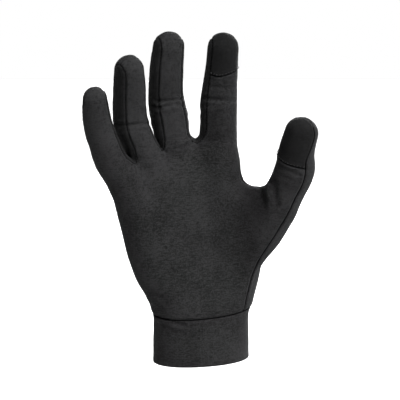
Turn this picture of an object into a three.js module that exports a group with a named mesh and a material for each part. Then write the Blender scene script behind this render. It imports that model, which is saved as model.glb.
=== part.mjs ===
// Knitted glove liner for the right hand, shown in its worn form: hollow, open at the wrist.
//
// Frame, in millimetres: the origin is the centre of the wrist opening, +Z runs along the wrist
// towards the fingertips, +X points to the thumb side, and the palm faces -Y.
//
// The glove is cut and sewn from a palm panel, a back panel, three U-shaped side strips between the
// fingers, two fingertip pads and a doubled cuff. All panels lie on one smooth skin. The skin is a
// wrist-and-palm body swept through a table of sections, joined to five digits, each swept through a
// table of its own. The panels are laid out on it as rows and columns along each digit, and are made
// one cloth thickness deep towards the inside.

import * as THREE from 'three';

// ---------- driving dimensions, mm ----------
const CLOTH = 1.2; // single layer of knit
const CUFF_CLOTH = 2.2; // folded double layer
const SEAM_GAP = 0.3; // between two panels at a seam
const CUFF_TOP = 37.6; // height of the cuff seam above the opening
const CUFF_TILT = [0.026, 0.048]; // how much the opening and the cuff seam rise towards the thumb side
const CUFF_DIP = 0.1; // how much the cuff seam falls towards the palm side
const WEB_BLEND = 9; // how widely a digit flows into the palm
const WEB_REACH = 13; // that blend dies out this far from the palm body
const PALM_ROWS = 10; // rows from the finger crotches down to the cuff
const TIP_ROWS = 4; // rows over a rounded fingertip

const rad = (d) => (d * Math.PI) / 180;
const clamp = (v, lo, hi) => Math.min(hi, Math.max(lo, v));
const lerp = (a, b, t) => a + (b - a) * t;
const smooth = (a, b, v) => {
  const t = clamp((v - a) / (b - a), 0, 1);
  return t * t * (3 - 2 * t);
};

// ---------- tables ----------
// Wrist and palm body. x, y: centre of the section at height z. a, b: half width and half depth.
// turn: degrees that the palm side is turned towards the thumb. n: 2 is an ellipse, more is boxier.
const BODY = [
  { z: -12, x: 0.0, y: 0, a: 35.2, b: 24.5, turn: 12, n: 2.1 },
  { z: 14, x: 0.0, y: 0, a: 35.2, b: 24.5, turn: 12, n: 2.1 },
  { z: 36, x: 0.1, y: 0, a: 35.2, b: 24.2, turn: 12, n: 2.1 },
  { z: 47, x: -0.4, y: 0, a: 39.2, b: 22.5, turn: 12, n: 2.2 },
  { z: 60, x: -3.0, y: 0, a: 43.8, b: 20.5, turn: 12, n: 2.3 },
  { z: 76, x: -6.4, y: 1, a: 46.6, b: 18.0, turn: 12, n: 2.4 },
  { z: 96, x: -10.0, y: 1, a: 46.6, b: 16.0, turn: 12, n: 2.5 },
  { z: 112, x: -12.6, y: 1, a: 46.2, b: 14.8, turn: 13, n: 2.4 },
  { z: 124, x: -14.6, y: 1, a: 44.8, b: 13.6, turn: 14, n: 2.3 },
];
const BODY_TOP_ROUND = 22; // the body's rounded upper end

// Digits, from the wrist to the centre of the rounded tip. x, y, z: the bone line. a, b: half width
// and half depth. roll: degrees that the pad side is turned towards the thumb side of the hand.
const DIGITS = {
  little: [
    { x: -10.5, y: -2.2, z: 37.6, a: 16, b: 14, roll: 12 },
    { x: -27.0, y: -5.0, z: 76, a: 16, b: 14, roll: 12 },
    { x: -41.5, y: -9.5, z: 108, a: 15.0, b: 13.5, roll: 14 },
    { x: -54.2, y: -16.8, z: 134, a: 12.8, b: 12.2, roll: 20 },
    { x: -63.2, y: -23.2, z: 149, a: 11.4, b: 10.4, roll: 25 },
    { x: -67.6, y: -28.8, z: 162, a: 10.5, b: 9.6, roll: 27 },
    { x: -70.4, y: -33.0, z: 172, a: 10.1, b: 9.2, roll: 27 },
    { x: -72.0, y: -38.5, z: 183.5, a: 9.2, b: 8.8, roll: 26 },
    { x: -72.4, y: -42.5, z: 192.6, a: 8.2, b: 8.1, roll: 25 },
  ],
  ring: [
    { x: -5.5, y: -1.2, z: 37.6, a: 16, b: 14, roll: 12 },
    { x: -14.5, y: -1.0, z: 76, a: 16, b: 14, roll: 12 },
    { x: -24.0, y: -1.5, z: 108, a: 15, b: 13.5, roll: 14 },
    { x: -34.5, y: -4.5, z: 138, a: 12.5, b: 12.4, roll: 20 },
    { x: -43.2, y: -8.0, z: 158, a: 11.7, b: 11.2, roll: 28 },
    { x: -49.0, y: -13.0, z: 173, a: 12.4, b: 10.9, roll: 32 },
    { x: -50.1, y: -18.5, z: 188, a: 11.9, b: 10.4, roll: 33 },
    { x: -49.8, y: -24.0, z: 201, a: 11.4, b: 10.0, roll: 33 },
    { x: -49.6, y: -29.0, z: 211.9, a: 10.0, b: 9.7, roll: 33 },
  ],
  middle: [
    { x: 0.0, y: 0.0, z: 37.6, a: 16, b: 14, roll: 12 },
    { x: -4.5, y: 2.0, z: 76, a: 16, b: 14, roll: 12 },
    { x: -10.0, y: 4.0, z: 108, a: 15, b: 14, roll: 14 },
    { x: -15.8, y: 5.0, z: 140, a: 13.6, b: 13.2, roll: 17 },
    { x: -19.8, y: 4.0, z: 160, a: 12.2, b: 11.6, roll: 19 },
    { x: -22.3, y: 1.5, z: 175, a: 13.4, b: 11.4, roll: 20 },
    { x: -24.8, y: -3.0, z: 191, a: 12.6, b: 11.0, roll: 20 },
    { x: -24.3, y: -9.0, z: 210, a: 11.8, b: 10.6, roll: 20 },
    { x: -22.6, y: -14.0, z: 227.0, a: 10.8, b: 10.2, roll: 20 },
  ],
  index: [
    { x: 5.5, y: 1.2, z: 37.6, a: 16, b: 14, roll: 12 },
    { x: 6.5, y: 4.0, z: 76, a: 16, b: 14, roll: 12 },
    { x: 8.5, y: 7.0, z: 108, a: 16, b: 14, roll: 8 },
    { x: 12.2, y: 8.0, z: 136, a: 16.2, b: 13.5, roll: 4 },
    { x: 12.3, y: 7.5, z: 158, a: 13.4, b: 12.0, roll: 1 },
    { x: 12.5, y: 5.5, z: 173, a: 12.8, b: 11.2, roll: 0 },
    { x: 12.7, y: 2.0, z: 189.5, a: 12.9, b: 11.0, roll: 0 },
    { x: 14.1, y: -2.0, z: 207.5, a: 11.5, b: 10.5, roll: 0 },
    { x: 15.4, y: -6.0, z: 226.1, a: 10.8, b: 10.2, roll: 0 },
  ],
  thumb: [
    { x: 10.5, y: 2.2, z: 37.6, a: 16, b: 14, roll: 12 },
    { x: 22.0, y: 1.0, z: 62, a: 16.6, b: 16, roll: -8 },
    { x: 30.5, y: -2.5, z: 80, a: 16.2, b: 16.5, roll: -24 },
    { x: 43.8, y: -7.0, z: 98, a: 16.3, b: 16.2, roll: -36 },
    { x: 53.8, y: -12.0, z: 115, a: 15.0, b: 14.8, roll: -42 },
    { x: 60.9, y: -16.0, z: 129, a: 14.0, b: 13.4, roll: -45 },
    { x: 65.8, y: -20.0, z: 141.5, a: 14.6, b: 13.2, roll: -45 },
    { x: 66.8, y: -23.0, z: 154.5, a: 13.0, b: 12.0, roll: -45 },
    { x: 70.0, y: -26.0, z: 168.2, a: 11.9, b: 11.2, roll: -45 },
  ],
};

// Webs: rounded ridges r thick that fill the corners between neighbouring digits.
const WEBS = [
  { x1: 14, y1: 5, z1: 124, x2: 27, y2: 2, z2: 118, r: 9.5 }, // index to thumb
  { x1: 27, y1: 2, z1: 118, x2: 40, y2: -4, z2: 115.5, r: 9.5 },
  { x1: 40, y1: -4, z1: 115.5, x2: 54, y2: -11, z2: 113, r: 9.5 },
  { x1: -16, y1: 4.5, z1: 149.5, x2: 8, y2: 7.5, z2: 149.5, r: 10 }, // middle to index
];
const RIDGE_BLEND = 8;

// How each digit is cut. cols: columns across the palm side. rows: rows from the crotch to the pad
// seam. pad_mm: how far below the tip centre the pad seam lies. left, right: degrees from the pad's
// middle to the seams on each side, first the palm panel's, then the back panel's. slant: mm by
// which the pad seam falls from the left side to the right. bow: mm by which its ends rise.
const CUT = {
  little: { cols: 7, rows: 6, pad_rows: 3, pad_mm: 14, slant: 0, bow: 0, tip: 8.6, left: [118, 118], right: [47, 118], pad: false },
  ring: { cols: 5, rows: 7, pad_rows: 3, pad_mm: 18, slant: 0, bow: 0, tip: 10.6, left: [47, 118], right: [47, 118], pad: false },
  middle: { cols: 5, rows: 8, pad_rows: 3, pad_mm: 20, slant: 0, bow: 0, tip: 11.0, left: [47, 118], right: [47, 118], pad: false },
  index: { cols: 7, rows: 11, pad_rows: 3, pad_mm: 17.5, slant: -3, bow: 2.4, tip: 11.0, left: [47, 118], right: [97, 97], pad: true },
  thumb: { cols: 8, rows: 9, pad_rows: 3, pad_mm: 19.5, slant: 5, bow: 0, tip: 11.0, left: [88, 88], right: [72, 72], pad: true },
};
const ORDER = ['little', 'ring', 'middle', 'index', 'thumb'];

// Crotches between neighbouring digits. z: a height at which the two are still one, below the
// saddle. under: how far below the saddle the rays of the crotch start. front, back: degrees from
// straight up to the palm panel's seam and to the back panel's. ease: how far up a digit its side
// rays still lean towards the crotch. wide: the columns beside it fan out over a wide web.
const CROTCH = [
  { z: 136, under: 11, front: 36, back: 52, ease: 5 },
  { z: 142, under: 11, front: 32, back: 52, ease: 5 },
  { z: 146, under: 11, front: 30, back: 50, ease: 5 },
  { z: 112, under: 13, front: -12, back: 12, ease: 19, wide: true },
];

// Directions of the column boundaries below the crotches, in degrees from -Y towards +X: on the
// palm side at the knuckles and at the wrist, then on the back. The first and last are the outer
// seams, the same on both sides.
const FAN = [
  { palm_knuckle: -98, palm_wrist: -98, back_knuckle: 262, back_wrist: 262 },
  { palm_knuckle: 12, palm_wrist: -48, back_knuckle: 203, back_wrist: 226 },
  { palm_knuckle: 12, palm_wrist: -20, back_knuckle: 200, back_wrist: 200 },
  { palm_knuckle: 10, palm_wrist: 6, back_knuckle: 190, back_wrist: 174 },
  { palm_knuckle: -5, palm_wrist: 34, back_knuckle: 165, back_wrist: 140 },
  { palm_knuckle: 33, palm_wrist: 56, back_knuckle: 33, back_wrist: 56 },
];
const OUTER_BASE_MM = { little: -6, thumb: 6 }; // base row's outer end, along the digit from its crotch

// Main dents and folds: a groove of this depth and half width along a line between two points.
const DENTS = [
  { x1: 43, y1: -15, z1: 122, x2: 44, y2: -17, z2: 110, depth: 1.6, half: 3.0 }, // thumb crotch, inner
  { x1: 52, y1: -22, z1: 124, x2: 52, y2: -24, z2: 112, depth: 1.3, half: 3.2 }, // thumb crotch, outer
  { x1: -34, y1: -13, z1: 191, x2: -18, y2: -15, z2: 191, depth: 0.7, half: 2.4 }, // middle joint
  { x1: 4, y1: -9, z1: 190, x2: 22, y2: -9, z2: 190, depth: 0.7, half: 2.4 }, // index joint
  { x1: -57, y1: -22, z1: 173, x2: -42, y2: -24, z2: 173, depth: 0.6, half: 2.4 }, // ring joint
];

// ---------- the skin ----------
// Catmull-Rom through a table's rows, every named column alike; t runs over the rows, 0 to count - 1.
function along(rows, t) {
  const i = clamp(Math.floor(t), 0, rows.length - 2);
  const f = t - i;
  const p0 = rows[Math.max(i - 1, 0)];
  const p1 = rows[i];
  const p2 = rows[i + 1];
  const p3 = rows[Math.min(i + 2, rows.length - 1)];
  const out = {};
  for (const k of Object.keys(p1)) {
    const m1 = (p2[k] - p0[k]) / (i > 0 ? 2 : 1);
    const m2 = (p3[k] - p1[k]) / (i + 2 < rows.length ? 2 : 1);
    const f2 = f * f;
    const f3 = f2 * f;
    out[k] = (2 * f3 - 3 * f2 + 1) * p1[k] + (f3 - 2 * f2 + f) * m1 + (-2 * f3 + 3 * f2) * p2[k] + (f3 - f2) * m2;
  }
  return out;
}

// A digit's bone line as evenly spaced stations, each with its centre, radii and frame: across
// (towards the thumb side), front (the pad side) and up (towards the tip).
const STATIONS = 48;
function boneLine(rows) {
  const fine = [];
  let run = 0;
  for (let i = 0; i <= 400; i++) {
    const t = (i / 400) * (rows.length - 1);
    const r = along(rows, t);
    const c = new THREE.Vector3(r.x, r.y, r.z);
    if (i) run += c.distanceTo(fine[i - 1].c);
    fine.push({ t, c, run });
  }
  const out = [];
  let j = 0;
  for (let i = 0; i <= STATIONS; i++) {
    const goal = (run * i) / STATIONS;
    while (j < 399 && fine[j + 1].run < goal) j++;
    const f = clamp((goal - fine[j].run) / (fine[j + 1].run - fine[j].run || 1), 0, 1);
    const r = along(rows, lerp(fine[j].t, fine[j + 1].t, f));
    out.push({ c: new THREE.Vector3(r.x, r.y, r.z), a: r.a, b: r.b, roll: r.roll });
  }
  out.forEach((s, i) => {
    s.up = out[Math.min(i + 1, STATIONS)].c.clone().sub(out[Math.max(i - 1, 0)].c).normalize();
    const f = new THREE.Vector3(Math.sin(rad(s.roll)), -Math.cos(rad(s.roll)), 0);
    s.front = f.addScaledVector(s.up, -f.dot(s.up)).normalize();
    s.across = s.up.clone().cross(s.front);
  });
  return { stations: out, length: run };
}
const BONES = Object.fromEntries(ORDER.map((g) => [g, boneLine(DIGITS[g])]));

// A bone line's station at s, from 0 at the wrist to 1 at the tip centre.
function station(g, s) {
  const st = BONES[g].stations;
  const t = clamp(s, 0, 1) * STATIONS;
  const i = Math.min(Math.floor(t), STATIONS - 1);
  const f = t - i;
  const mix = (k) => st[i][k].clone().lerp(st[i + 1][k], f);
  const out = { c: mix('c'), up: mix('up').normalize(), front: mix('front') };
  out.a = lerp(st[i].a, st[i + 1].a, f);
  out.b = lerp(st[i].b, st[i + 1].b, f);
  out.front.addScaledVector(out.up, -out.front.dot(out.up)).normalize();
  out.across = out.up.clone().cross(out.front);
  return out;
}

// First-order distance to an ellipsoid-like section, from local coordinates and radii.
function sectionDistance(u, v, w, a, b, c) {
  const k0 = Math.hypot(u / a, v / b, w / c);
  if (k0 < 1e-3) return -Math.min(a, b);
  return ((k0 - 1) * k0) / Math.hypot(u / (a * a), v / (b * b), w / (c * c));
}

function digitDistance(g, p) {
  const st = BONES[g].stations;
  let best = Infinity;
  let at = 0;
  for (let i = 0; i < STATIONS; i++) {
    const A = st[i].c;
    const B = st[i + 1].c;
    const dx = B.x - A.x;
    const dy = B.y - A.y;
    const dz = B.z - A.z;
    const t = clamp(((p.x - A.x) * dx + (p.y - A.y) * dy + (p.z - A.z) * dz) / (dx * dx + dy * dy + dz * dz), 0, 1);
    const d = (p.x - A.x - t * dx) ** 2 + (p.y - A.y - t * dy) ** 2 + (p.z - A.z - t * dz) ** 2;
    if (d < best) {
      best = d;
      at = (i + t) / STATIONS;
    }
  }
  const s = station(g, at);
  const d = p.clone().sub(s.c);
  const end = at >= 1 ? d.dot(s.up) : 0;
  const start = at <= 0 ? d.dot(s.up) : 0;
  return sectionDistance(d.dot(s.across), d.dot(s.front), end + start, s.a, s.b, end ? CUT[g].tip : s.b);
}

function bodyDistance(p) {
  const top = BODY[BODY.length - 1].z;
  const z = clamp(p.z, BODY[0].z, top);
  let i = 0;
  while (i < BODY.length - 2 && BODY[i + 1].z < z) i++;
  const r = along(BODY, i + (z - BODY[i].z) / (BODY[i + 1].z - BODY[i].z));
  const cs = Math.cos(rad(r.turn));
  const sn = Math.sin(rad(r.turn));
  const u = Math.abs((p.x - r.x) * cs + (p.y - r.y) * sn);
  const v = Math.abs(-(p.x - r.x) * sn + (p.y - r.y) * cs);
  const w = Math.max(p.z - top, 0);
  const k0 = ((u / r.a) ** r.n + (v / r.b) ** r.n + (w / BODY_TOP_ROUND) ** r.n) ** (1 / r.n);
  if (k0 < 1e-3) return -r.b;
  const q = k0 ** (1 - r.n);
  const slope = Math.hypot((q * (u / r.a) ** (r.n - 1)) / r.a, (q * (v / r.b) ** (r.n - 1)) / r.b, (q * (w / BODY_TOP_ROUND) ** (r.n - 1)) / BODY_TOP_ROUND);
  return (k0 - 1) / slope;
}

// How far along a table's segment x1..z2 a point lies, 0 to 1, and how far it is from it.
function segment(d, p) {
  const ex = d.x2 - d.x1;
  const ey = d.y2 - d.y1;
  const ez = d.z2 - d.z1;
  const t = clamp(((p.x - d.x1) * ex + (p.y - d.y1) * ey + (p.z - d.z1) * ez) / (ex * ex + ey * ey + ez * ez), 0, 1);
  return Math.hypot(p.x - d.x1 - t * ex, p.y - d.y1 - t * ey, p.z - d.z1 - t * ez);
}

const blendMin = (a, b, k) => {
  const h = Math.max(k - Math.abs(a - b), 0) / k;
  return Math.min(a, b) - (h * h * k) / 4;
};

function skin(p) {
  const body = bodyDistance(p);
  const k = 0.4 + WEB_BLEND * (1 - smooth(1, WEB_REACH, body));
  let f = body;
  for (const g of ORDER) f = blendMin(f, digitDistance(g, p), k);
  for (const d of WEBS) f = blendMin(f, segment(d, p) - d.r, RIDGE_BLEND);
  for (const d of DENTS) f += d.depth * Math.exp(-((segment(d, p) / d.half) ** 2));
  return f;
}

function normalAt(p) {
  const e = 0.4;
  const v = (dx, dy, dz) => skin(new THREE.Vector3(p.x + dx, p.y + dy, p.z + dz));
  return new THREE.Vector3(v(e, 0, 0) - v(-e, 0, 0), v(0, e, 0) - v(0, -e, 0), v(0, 0, e) - v(0, 0, -e)).normalize();
}

// Where a ray from inside the hand first leaves the skin.
function hit(ray) {
  const at = (d) => skin(ray.from.clone().addScaledVector(ray.to, d));
  let lo = 0;
  let hi = 0.5;
  for (let f = at(hi); f < 0; f = at(hi)) {
    lo = hi;
    hi += clamp(-f * 0.5, 0.3, 3);
    if (hi > 120) throw new Error('a ray never leaves the skin');
  }
  for (let i = 0; i < 18; i++) {
    const mid = (lo + hi) / 2;
    if (at(mid) < 0) lo = mid;
    else hi = mid;
  }
  return ray.from.clone().addScaledVector(ray.to, (lo + hi) / 2);
}

// ---------- the layout of the panels ----------
const slerp = (a, b, t) => {
  const d = clamp(a.dot(b), -1, 1);
  const w = Math.acos(d);
  if (w < 1e-4) return a.clone();
  return a.clone().multiplyScalar(Math.sin((1 - t) * w) / Math.sin(w)).addScaledVector(b, Math.sin(t * w) / Math.sin(w)).normalize();
};
const flat = (deg) => new THREE.Vector3(Math.sin(rad(deg)), -Math.cos(rad(deg)), 0);

// The nearest place on a bone line to a point, as s.
function nearest(g, p) {
  let best = Infinity;
  let at = 0;
  for (let i = 0; i <= 600; i++) {
    const d = station(g, i / 600).c.distanceTo(p);
    if (d < best) {
      best = d;
      at = i / 600;
    }
  }
  return at;
}

// A bone line's station at a height.
function stationAt(g, z) {
  const st = BONES[g].stations;
  let i = 0;
  while (i < STATIONS - 1 && st[i + 1].c.z < z) i++;
  return station(g, (i + clamp((z - st[i].c.z) / (st[i + 1].c.z - st[i].c.z), 0, 1)) / STATIONS);
}

// The way up between two neighbouring digits, and the saddle of the skin there: the lowest place
// between their bone lines that is outside.
const GAPS = CROTCH.map((c, i) => {
  const most = (z) => {
    const a = stationAt(ORDER[i], z).c;
    const b = stationAt(ORDER[i + 1], z).c;
    let best = { f: -Infinity };
    for (let k = 0; k <= 60; k++) {
      const p = a.clone().lerp(b, k / 60);
      const f = skin(p);
      if (f > best.f) best = { f, p };
    }
    return best;
  };
  let hi = c.z;
  while (most(hi).f < 0) hi += 1;
  let lo = hi - 1;
  for (let n = 0; n < 10; n++) {
    const mid = (lo + hi) / 2;
    if (most(mid).f < 0) lo = mid;
    else hi = mid;
  }
  const saddle = most(hi).p;
  const [l, r] = [ORDER[i], ORDER[i + 1]].map((g) => stationAt(g, saddle.z - c.under / 2));
  const up = l.up.clone().add(r.up).normalize();
  const front = l.front.clone().add(r.front).normalize();
  front.addScaledVector(up, -front.dot(up)).normalize();
  return { up, front, saddle, from: saddle.clone().addScaledVector(up, -c.under) };
});

const BASE = {}; // s of a digit's base row at its left and right edge
ORDER.forEach((g, i) => {
  const at = (k) => (k < 0 || k > 3 ? null : nearest(g, GAPS[k].saddle));
  const [left, right] = [at(i - 1), at(i)];
  BASE[g] = { left: left ?? right + OUTER_BASE_MM[g] / BONES[g].length, right: right ?? left + OUTER_BASE_MM[g] / BONES[g].length };
});

const baseOf = (g, t) => lerp(BASE[g].left, BASE[g].right, (t + 1) / 2);

// Rows of a digit above its base: 0 at the crotches, then up to the tip centre, then over the tip.
// Each gives the place on the bone line and how far over the tip the row lies, in degrees.
function digitRow(g, r, t) {
  const cut = CUT[g];
  const pad = 1 - (cut.pad_mm + (cut.slant * t) / 2 - cut.bow * t * t) / BONES[g].length;
  const body = cut.rows + cut.pad_rows;
  if (r <= cut.rows) return { s: lerp(baseOf(g, t), pad, (r / cut.rows) ** 1.3), over: 0 };
  if (r <= body) return { s: lerp(pad, 1, (r - cut.rows) / cut.pad_rows), over: 0 };
  return { s: 1, over: (90 * (r - body)) / TIP_ROWS };
}
const lastRow = (g) => CUT[g].rows + CUT[g].pad_rows + TIP_ROWS;

// A ray to the edge of a digit's strip. side: -1 left, 1 right. w: 0 at the palm panel's seam,
// 1 at the back panel's, and between them across the side strip.
function sideRay(g, side, r, w) {
  const { s, over } = digitRow(g, r, side);
  const st = station(g, s);
  const [palm, back] = side < 0 ? CUT[g].left : CUT[g].right;
  const across = st.across.clone().multiplyScalar(side);
  const tilt = (front, deg) => {
    // direction at deg from the pad's middle, after the middle has turned over the tip
    const mid = front.clone().multiplyScalar(Math.cos(rad(over))).addScaledVector(st.up, Math.sin(rad(over)));
    return across.clone().multiplyScalar(Math.sin(rad(deg))).addScaledVector(mid, Math.cos(rad(deg)));
  };
  const k = over / 90;
  let to;
  if (palm === back) {
    const deg = lerp(palm, 90, smooth(CUT[g].rows, CUT[g].rows + CUT[g].pad_rows, r));
    const below = across.clone().multiplyScalar(Math.sin(rad(deg))).addScaledVector(st.front, Math.cos(rad(deg)));
    const above = across.clone().multiplyScalar(Math.sin(rad(50))).addScaledVector(st.up, Math.cos(rad(50)));
    to = slerp(below, above, k);
  } else {
    const f = tilt(st.front, lerp(palm, 50, k));
    const b = tilt(st.front.clone().negate(), lerp(180 - back, 50, k));
    to = slerp(f, b, w);
  }
  return { from: st.c, to };
}

function crotchRay(i, w) {
  const deg = lerp(CROTCH[i].front, -CROTCH[i].back, w);
  const { from, front, up } = GAPS[i];
  return { from, to: front.clone().multiplyScalar(Math.sin(rad(deg))).addScaledVector(up, Math.cos(rad(deg))) };
}

const mixRay = (a, b, t) => ({ from: a.from.clone().lerp(b.from, t), to: slerp(a.to, b.to, t) });

// How much a digit's edge leans into the crotch on that side, on its own rows (r >= 0): 1 at the
// base row. reach stretches the distance over which it fades.
function lean(g, side, r, reach) {
  const i = ORDER.indexOf(g) - (side < 0 ? 1 : 0);
  if (i < 0 || i > 3) return { i: -1, k: 0 };
  const rise = (digitRow(g, r, side).s - baseOf(g, side)) * BONES[g].length;
  return { i, k: Math.exp(-((rise / (CROTCH[i].ease * reach)) ** 2)) };
}

function edgeRay(g, side, r, w) {
  const { i, k } = lean(g, side, r, 1);
  const own = sideRay(g, side, r, w);
  return i < 0 ? own : mixRay(own, crotchRay(i, w), k);
}

// A ray of the palm side (w = 0) or the back (w = 1) at column t of a digit, -1 to 1.
function digitRay(g, t, r, w) {
  const { s, over } = digitRow(g, r, t);
  const st = station(g, s);
  const mid = st.front.clone().multiplyScalar((w ? -1 : 1) * Math.cos(rad(over))).addScaledVector(st.up, Math.sin(rad(over)));
  const side = t < 0 ? -1 : 1;
  const a = Math.abs(t);
  const { i, k } = lean(g, side, r, 2 - a);
  if (i >= 0 && CROTCH[i].wide) return mixRay({ from: st.c, to: mid }, edgeRay(g, side, r, w), a);
  const own = { from: st.c, to: slerp(mid, sideRay(g, side, r, w).to, a) };
  return i < 0 ? own : mixRay(own, crotchRay(i, w), a * a * k);
}

// Below the crotches: the bone line's place at column t, shared between two digits at their edges,
// and how far it is below the base row. down: 0 at the base row, 1 at the cuff.
function palmSpine(g, t, down) {
  const i = ORDER.indexOf(g);
  const n = ORDER[t < 0 ? i - 1 : i + 1];
  const k = n ? Math.abs(t) : 0;
  const c = station(g, baseOf(g, t) * (1 - down)).c;
  const level = down * BONES[g].length * baseOf(g, t);
  if (!n) return { c, level };
  const edge = [station(g, baseOf(g, Math.sign(t)) * (1 - down)).c, station(n, baseOf(n, -Math.sign(t)) * (1 - down)).c];
  const other = down * BONES[n].length * baseOf(n, -Math.sign(t));
  return { c: c.lerp(edge[0].add(edge[1]).multiplyScalar(0.5), k), level: lerp(level, (level + other) / 2, k) };
}

// A ray of the palm side or the back on row q of PALM_ROWS, from the base row (0) to the cuff seam.
function palmRay(g, t, q, w) {
  const i = ORDER.indexOf(g);
  const down = q / PALM_ROWS;
  const { c, level } = palmSpine(g, t, down);
  const front = station(g, baseOf(g, 0)).front;
  const mid = THREE.MathUtils.radToDeg(Math.atan2(front.x, -front.y)) + (w ? 180 : 0);
  const side = w ? 'back_' : 'palm_';
  const edges = (key) => [FAN[i][side + key], FAN[i + 1][side + key]];
  const knuckle = flat(lerp(mid, edges('knuckle')[t < 0 ? 0 : 1], Math.abs(t)));
  const wrist = flat(lerp(...edges('wrist'), (t + 1) / 2));
  const top = digitRay(g, t, 0, w);
  const to = slerp(slerp(top.to, knuckle, smooth(0, 26, level)), wrist, smooth(0.2, 1, down));
  const from = c.addScaledVector(top.from.sub(palmSpine(g, t, 0).c), 1 - smooth(0, 22, level));
  if (q === PALM_ROWS) {
    to.z = to.x * CUFF_TILT[1] + to.y * CUFF_DIP;
    to.normalize();
    from.z = CUFF_TOP + from.x * CUFF_TILT[1] + from.y * CUFF_DIP;
  }
  return { from, to };
}

// ---------- from rows and columns to closed cloth panels ----------
// A sheet gathers quads whose corners are named places on the skin, then becomes one closed solid.
class Sheet {
  constructor(cloth) {
    this.cloth = cloth;
    this.index = new Map();
    this.outer = [];
    this.level = [];
    this.quads = [];
  }
  corner(key, ray, level = false) {
    if (!this.index.has(key)) {
      this.index.set(key, this.outer.length);
      this.outer.push(hit(ray()));
      this.level.push(level);
    }
    return this.index.get(key);
  }
  quad(a, b, c, d) {
    this.quads.push([a, b, c, d]);
  }
  build() {
    const P = this.outer;
    const N = P.map((p, i) => {
      const n = normalAt(p);
      if (this.level[i]) n.setZ(n.x * CUFF_TILT[1] + n.y * CUFF_DIP).normalize();
      return n;
    });
    // Boundary edges run once round the sheet; its corners step back half a seam gap.
    const seen = new Map();
    for (const q of this.quads) q.forEach((v, i) => seen.set(v + '_' + q[(i + 1) % q.length], [v, q[(i + 1) % q.length]]));
    const rim = [...seen.values()].filter(([a, b]) => !seen.has(b + '_' + a));
    const inset = new Map();
    for (const [a, b] of rim) {
      const e = P[b].clone().sub(P[a]).normalize();
      for (const v of [a, b]) {
        const step = N[v].clone().cross(e).normalize();
        if (inset.has(v)) inset.get(v).push(step);
        else inset.set(v, [step]);
      }
    }
    const moved = P.map((p) => p.clone());
    for (const [v, steps] of inset) {
      const sum = steps[0].clone().add(steps[1] ?? steps[0]).normalize();
      moved[v].addScaledVector(sum, SEAM_GAP / 2 / Math.max(sum.dot(steps[0]), 0.5));
    }
    const inner = moved.map((p, i) => p.clone().addScaledVector(N[i], -this.cloth));
    const tri = [];
    const n = P.length;
    const all = [...moved, ...inner];
    const push = (a, b, c) => {
      if (a !== b && b !== c && a !== c) tri.push(a, b, c);
    };
    const split = (a, b, c, d) => {
      if (all[a].distanceTo(all[c]) <= all[b].distanceTo(all[d])) {
        push(a, b, c);
        push(a, c, d);
      } else {
        push(a, b, d);
        push(b, c, d);
      }
    };
    for (const [a, b, c, d] of this.quads) {
      split(a, b, c, d);
      split(n + d, n + c, n + b, n + a);
    }
    for (const [a, b] of rim) split(b, a, n + a, n + b);
    const g = new THREE.BufferGeometry();
    g.setAttribute('position', new THREE.Float32BufferAttribute(all.flatMap((p) => [p.x, p.y, p.z]), 3));
    g.setIndex(tri);
    return g;
  }
}

// Palm panel (w = 0) or back panel (w = 1); the pads take the palm panel's last rows on two digits.
function panels(w) {
  const main = new Sheet(CLOTH);
  const pads = {};
  ORDER.forEach((g, i) => {
    const { cols, rows, pad } = CUT[g];
    const tOf = (c) => -1 + (2 * c) / cols;
    // A corner's key is shared between neighbours where their columns meet at and below a crotch.
    const key = (r, c) => (r <= 0 && c === 0 && i > 0 ? ORDER[i - 1] + ' ' + r + ' ' + CUT[ORDER[i - 1]].cols : g + ' ' + r + ' ' + c);
    const corner = (sheet, r, c) =>
      sheet.corner(key(r, c), () => (r >= 0 ? digitRay(g, tOf(c), r, w) : palmRay(g, tOf(c), -r, w)), r === -PALM_ROWS);
    for (let r = -PALM_ROWS; r < lastRow(g); r++) {
      const onPad = !w && pad && r >= rows;
      const sheet = onPad ? (pads[g] ??= new Sheet(CLOTH)) : main;
      for (let c = 0; c < cols; c++) {
        const q = [corner(sheet, r, c), corner(sheet, r, c + 1), corner(sheet, r + 1, c + 1), corner(sheet, r + 1, c)];
        sheet.quad(...(w ? q.reverse() : q));
      }
    }
  });
  return { main, pads };
}

// The side strip between two fingers: up one side from the crotch, and up the other.
const STRIP_COLS = 3;
function strip(i) {
  const sheet = new Sheet(CLOTH);
  const [l, r] = [ORDER[i], ORDER[i + 1]];
  const path = [];
  for (let k = lastRow(l); k > 0; k--) path.push([l, 1, k]);
  path.push([l, 1, 0]);
  for (let k = 1; k <= lastRow(r); k++) path.push([r, -1, k]);
  // At each end the strip runs out to a point, so its last row has one corner.
  const corner = (k, c) => {
    const [g, side, row] = path[k];
    const at = row === lastRow(g) ? 0 : c;
    return sheet.corner(k + ' ' + at, () => edgeRay(g, side, row, at / STRIP_COLS));
  };
  for (let k = 0; k + 1 < path.length; k++)
    for (let c = 0; c < STRIP_COLS; c++) sheet.quad(corner(k, c), corner(k + 1, c), corner(k + 1, c + 1), corner(k, c + 1));
  return sheet;
}

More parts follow.
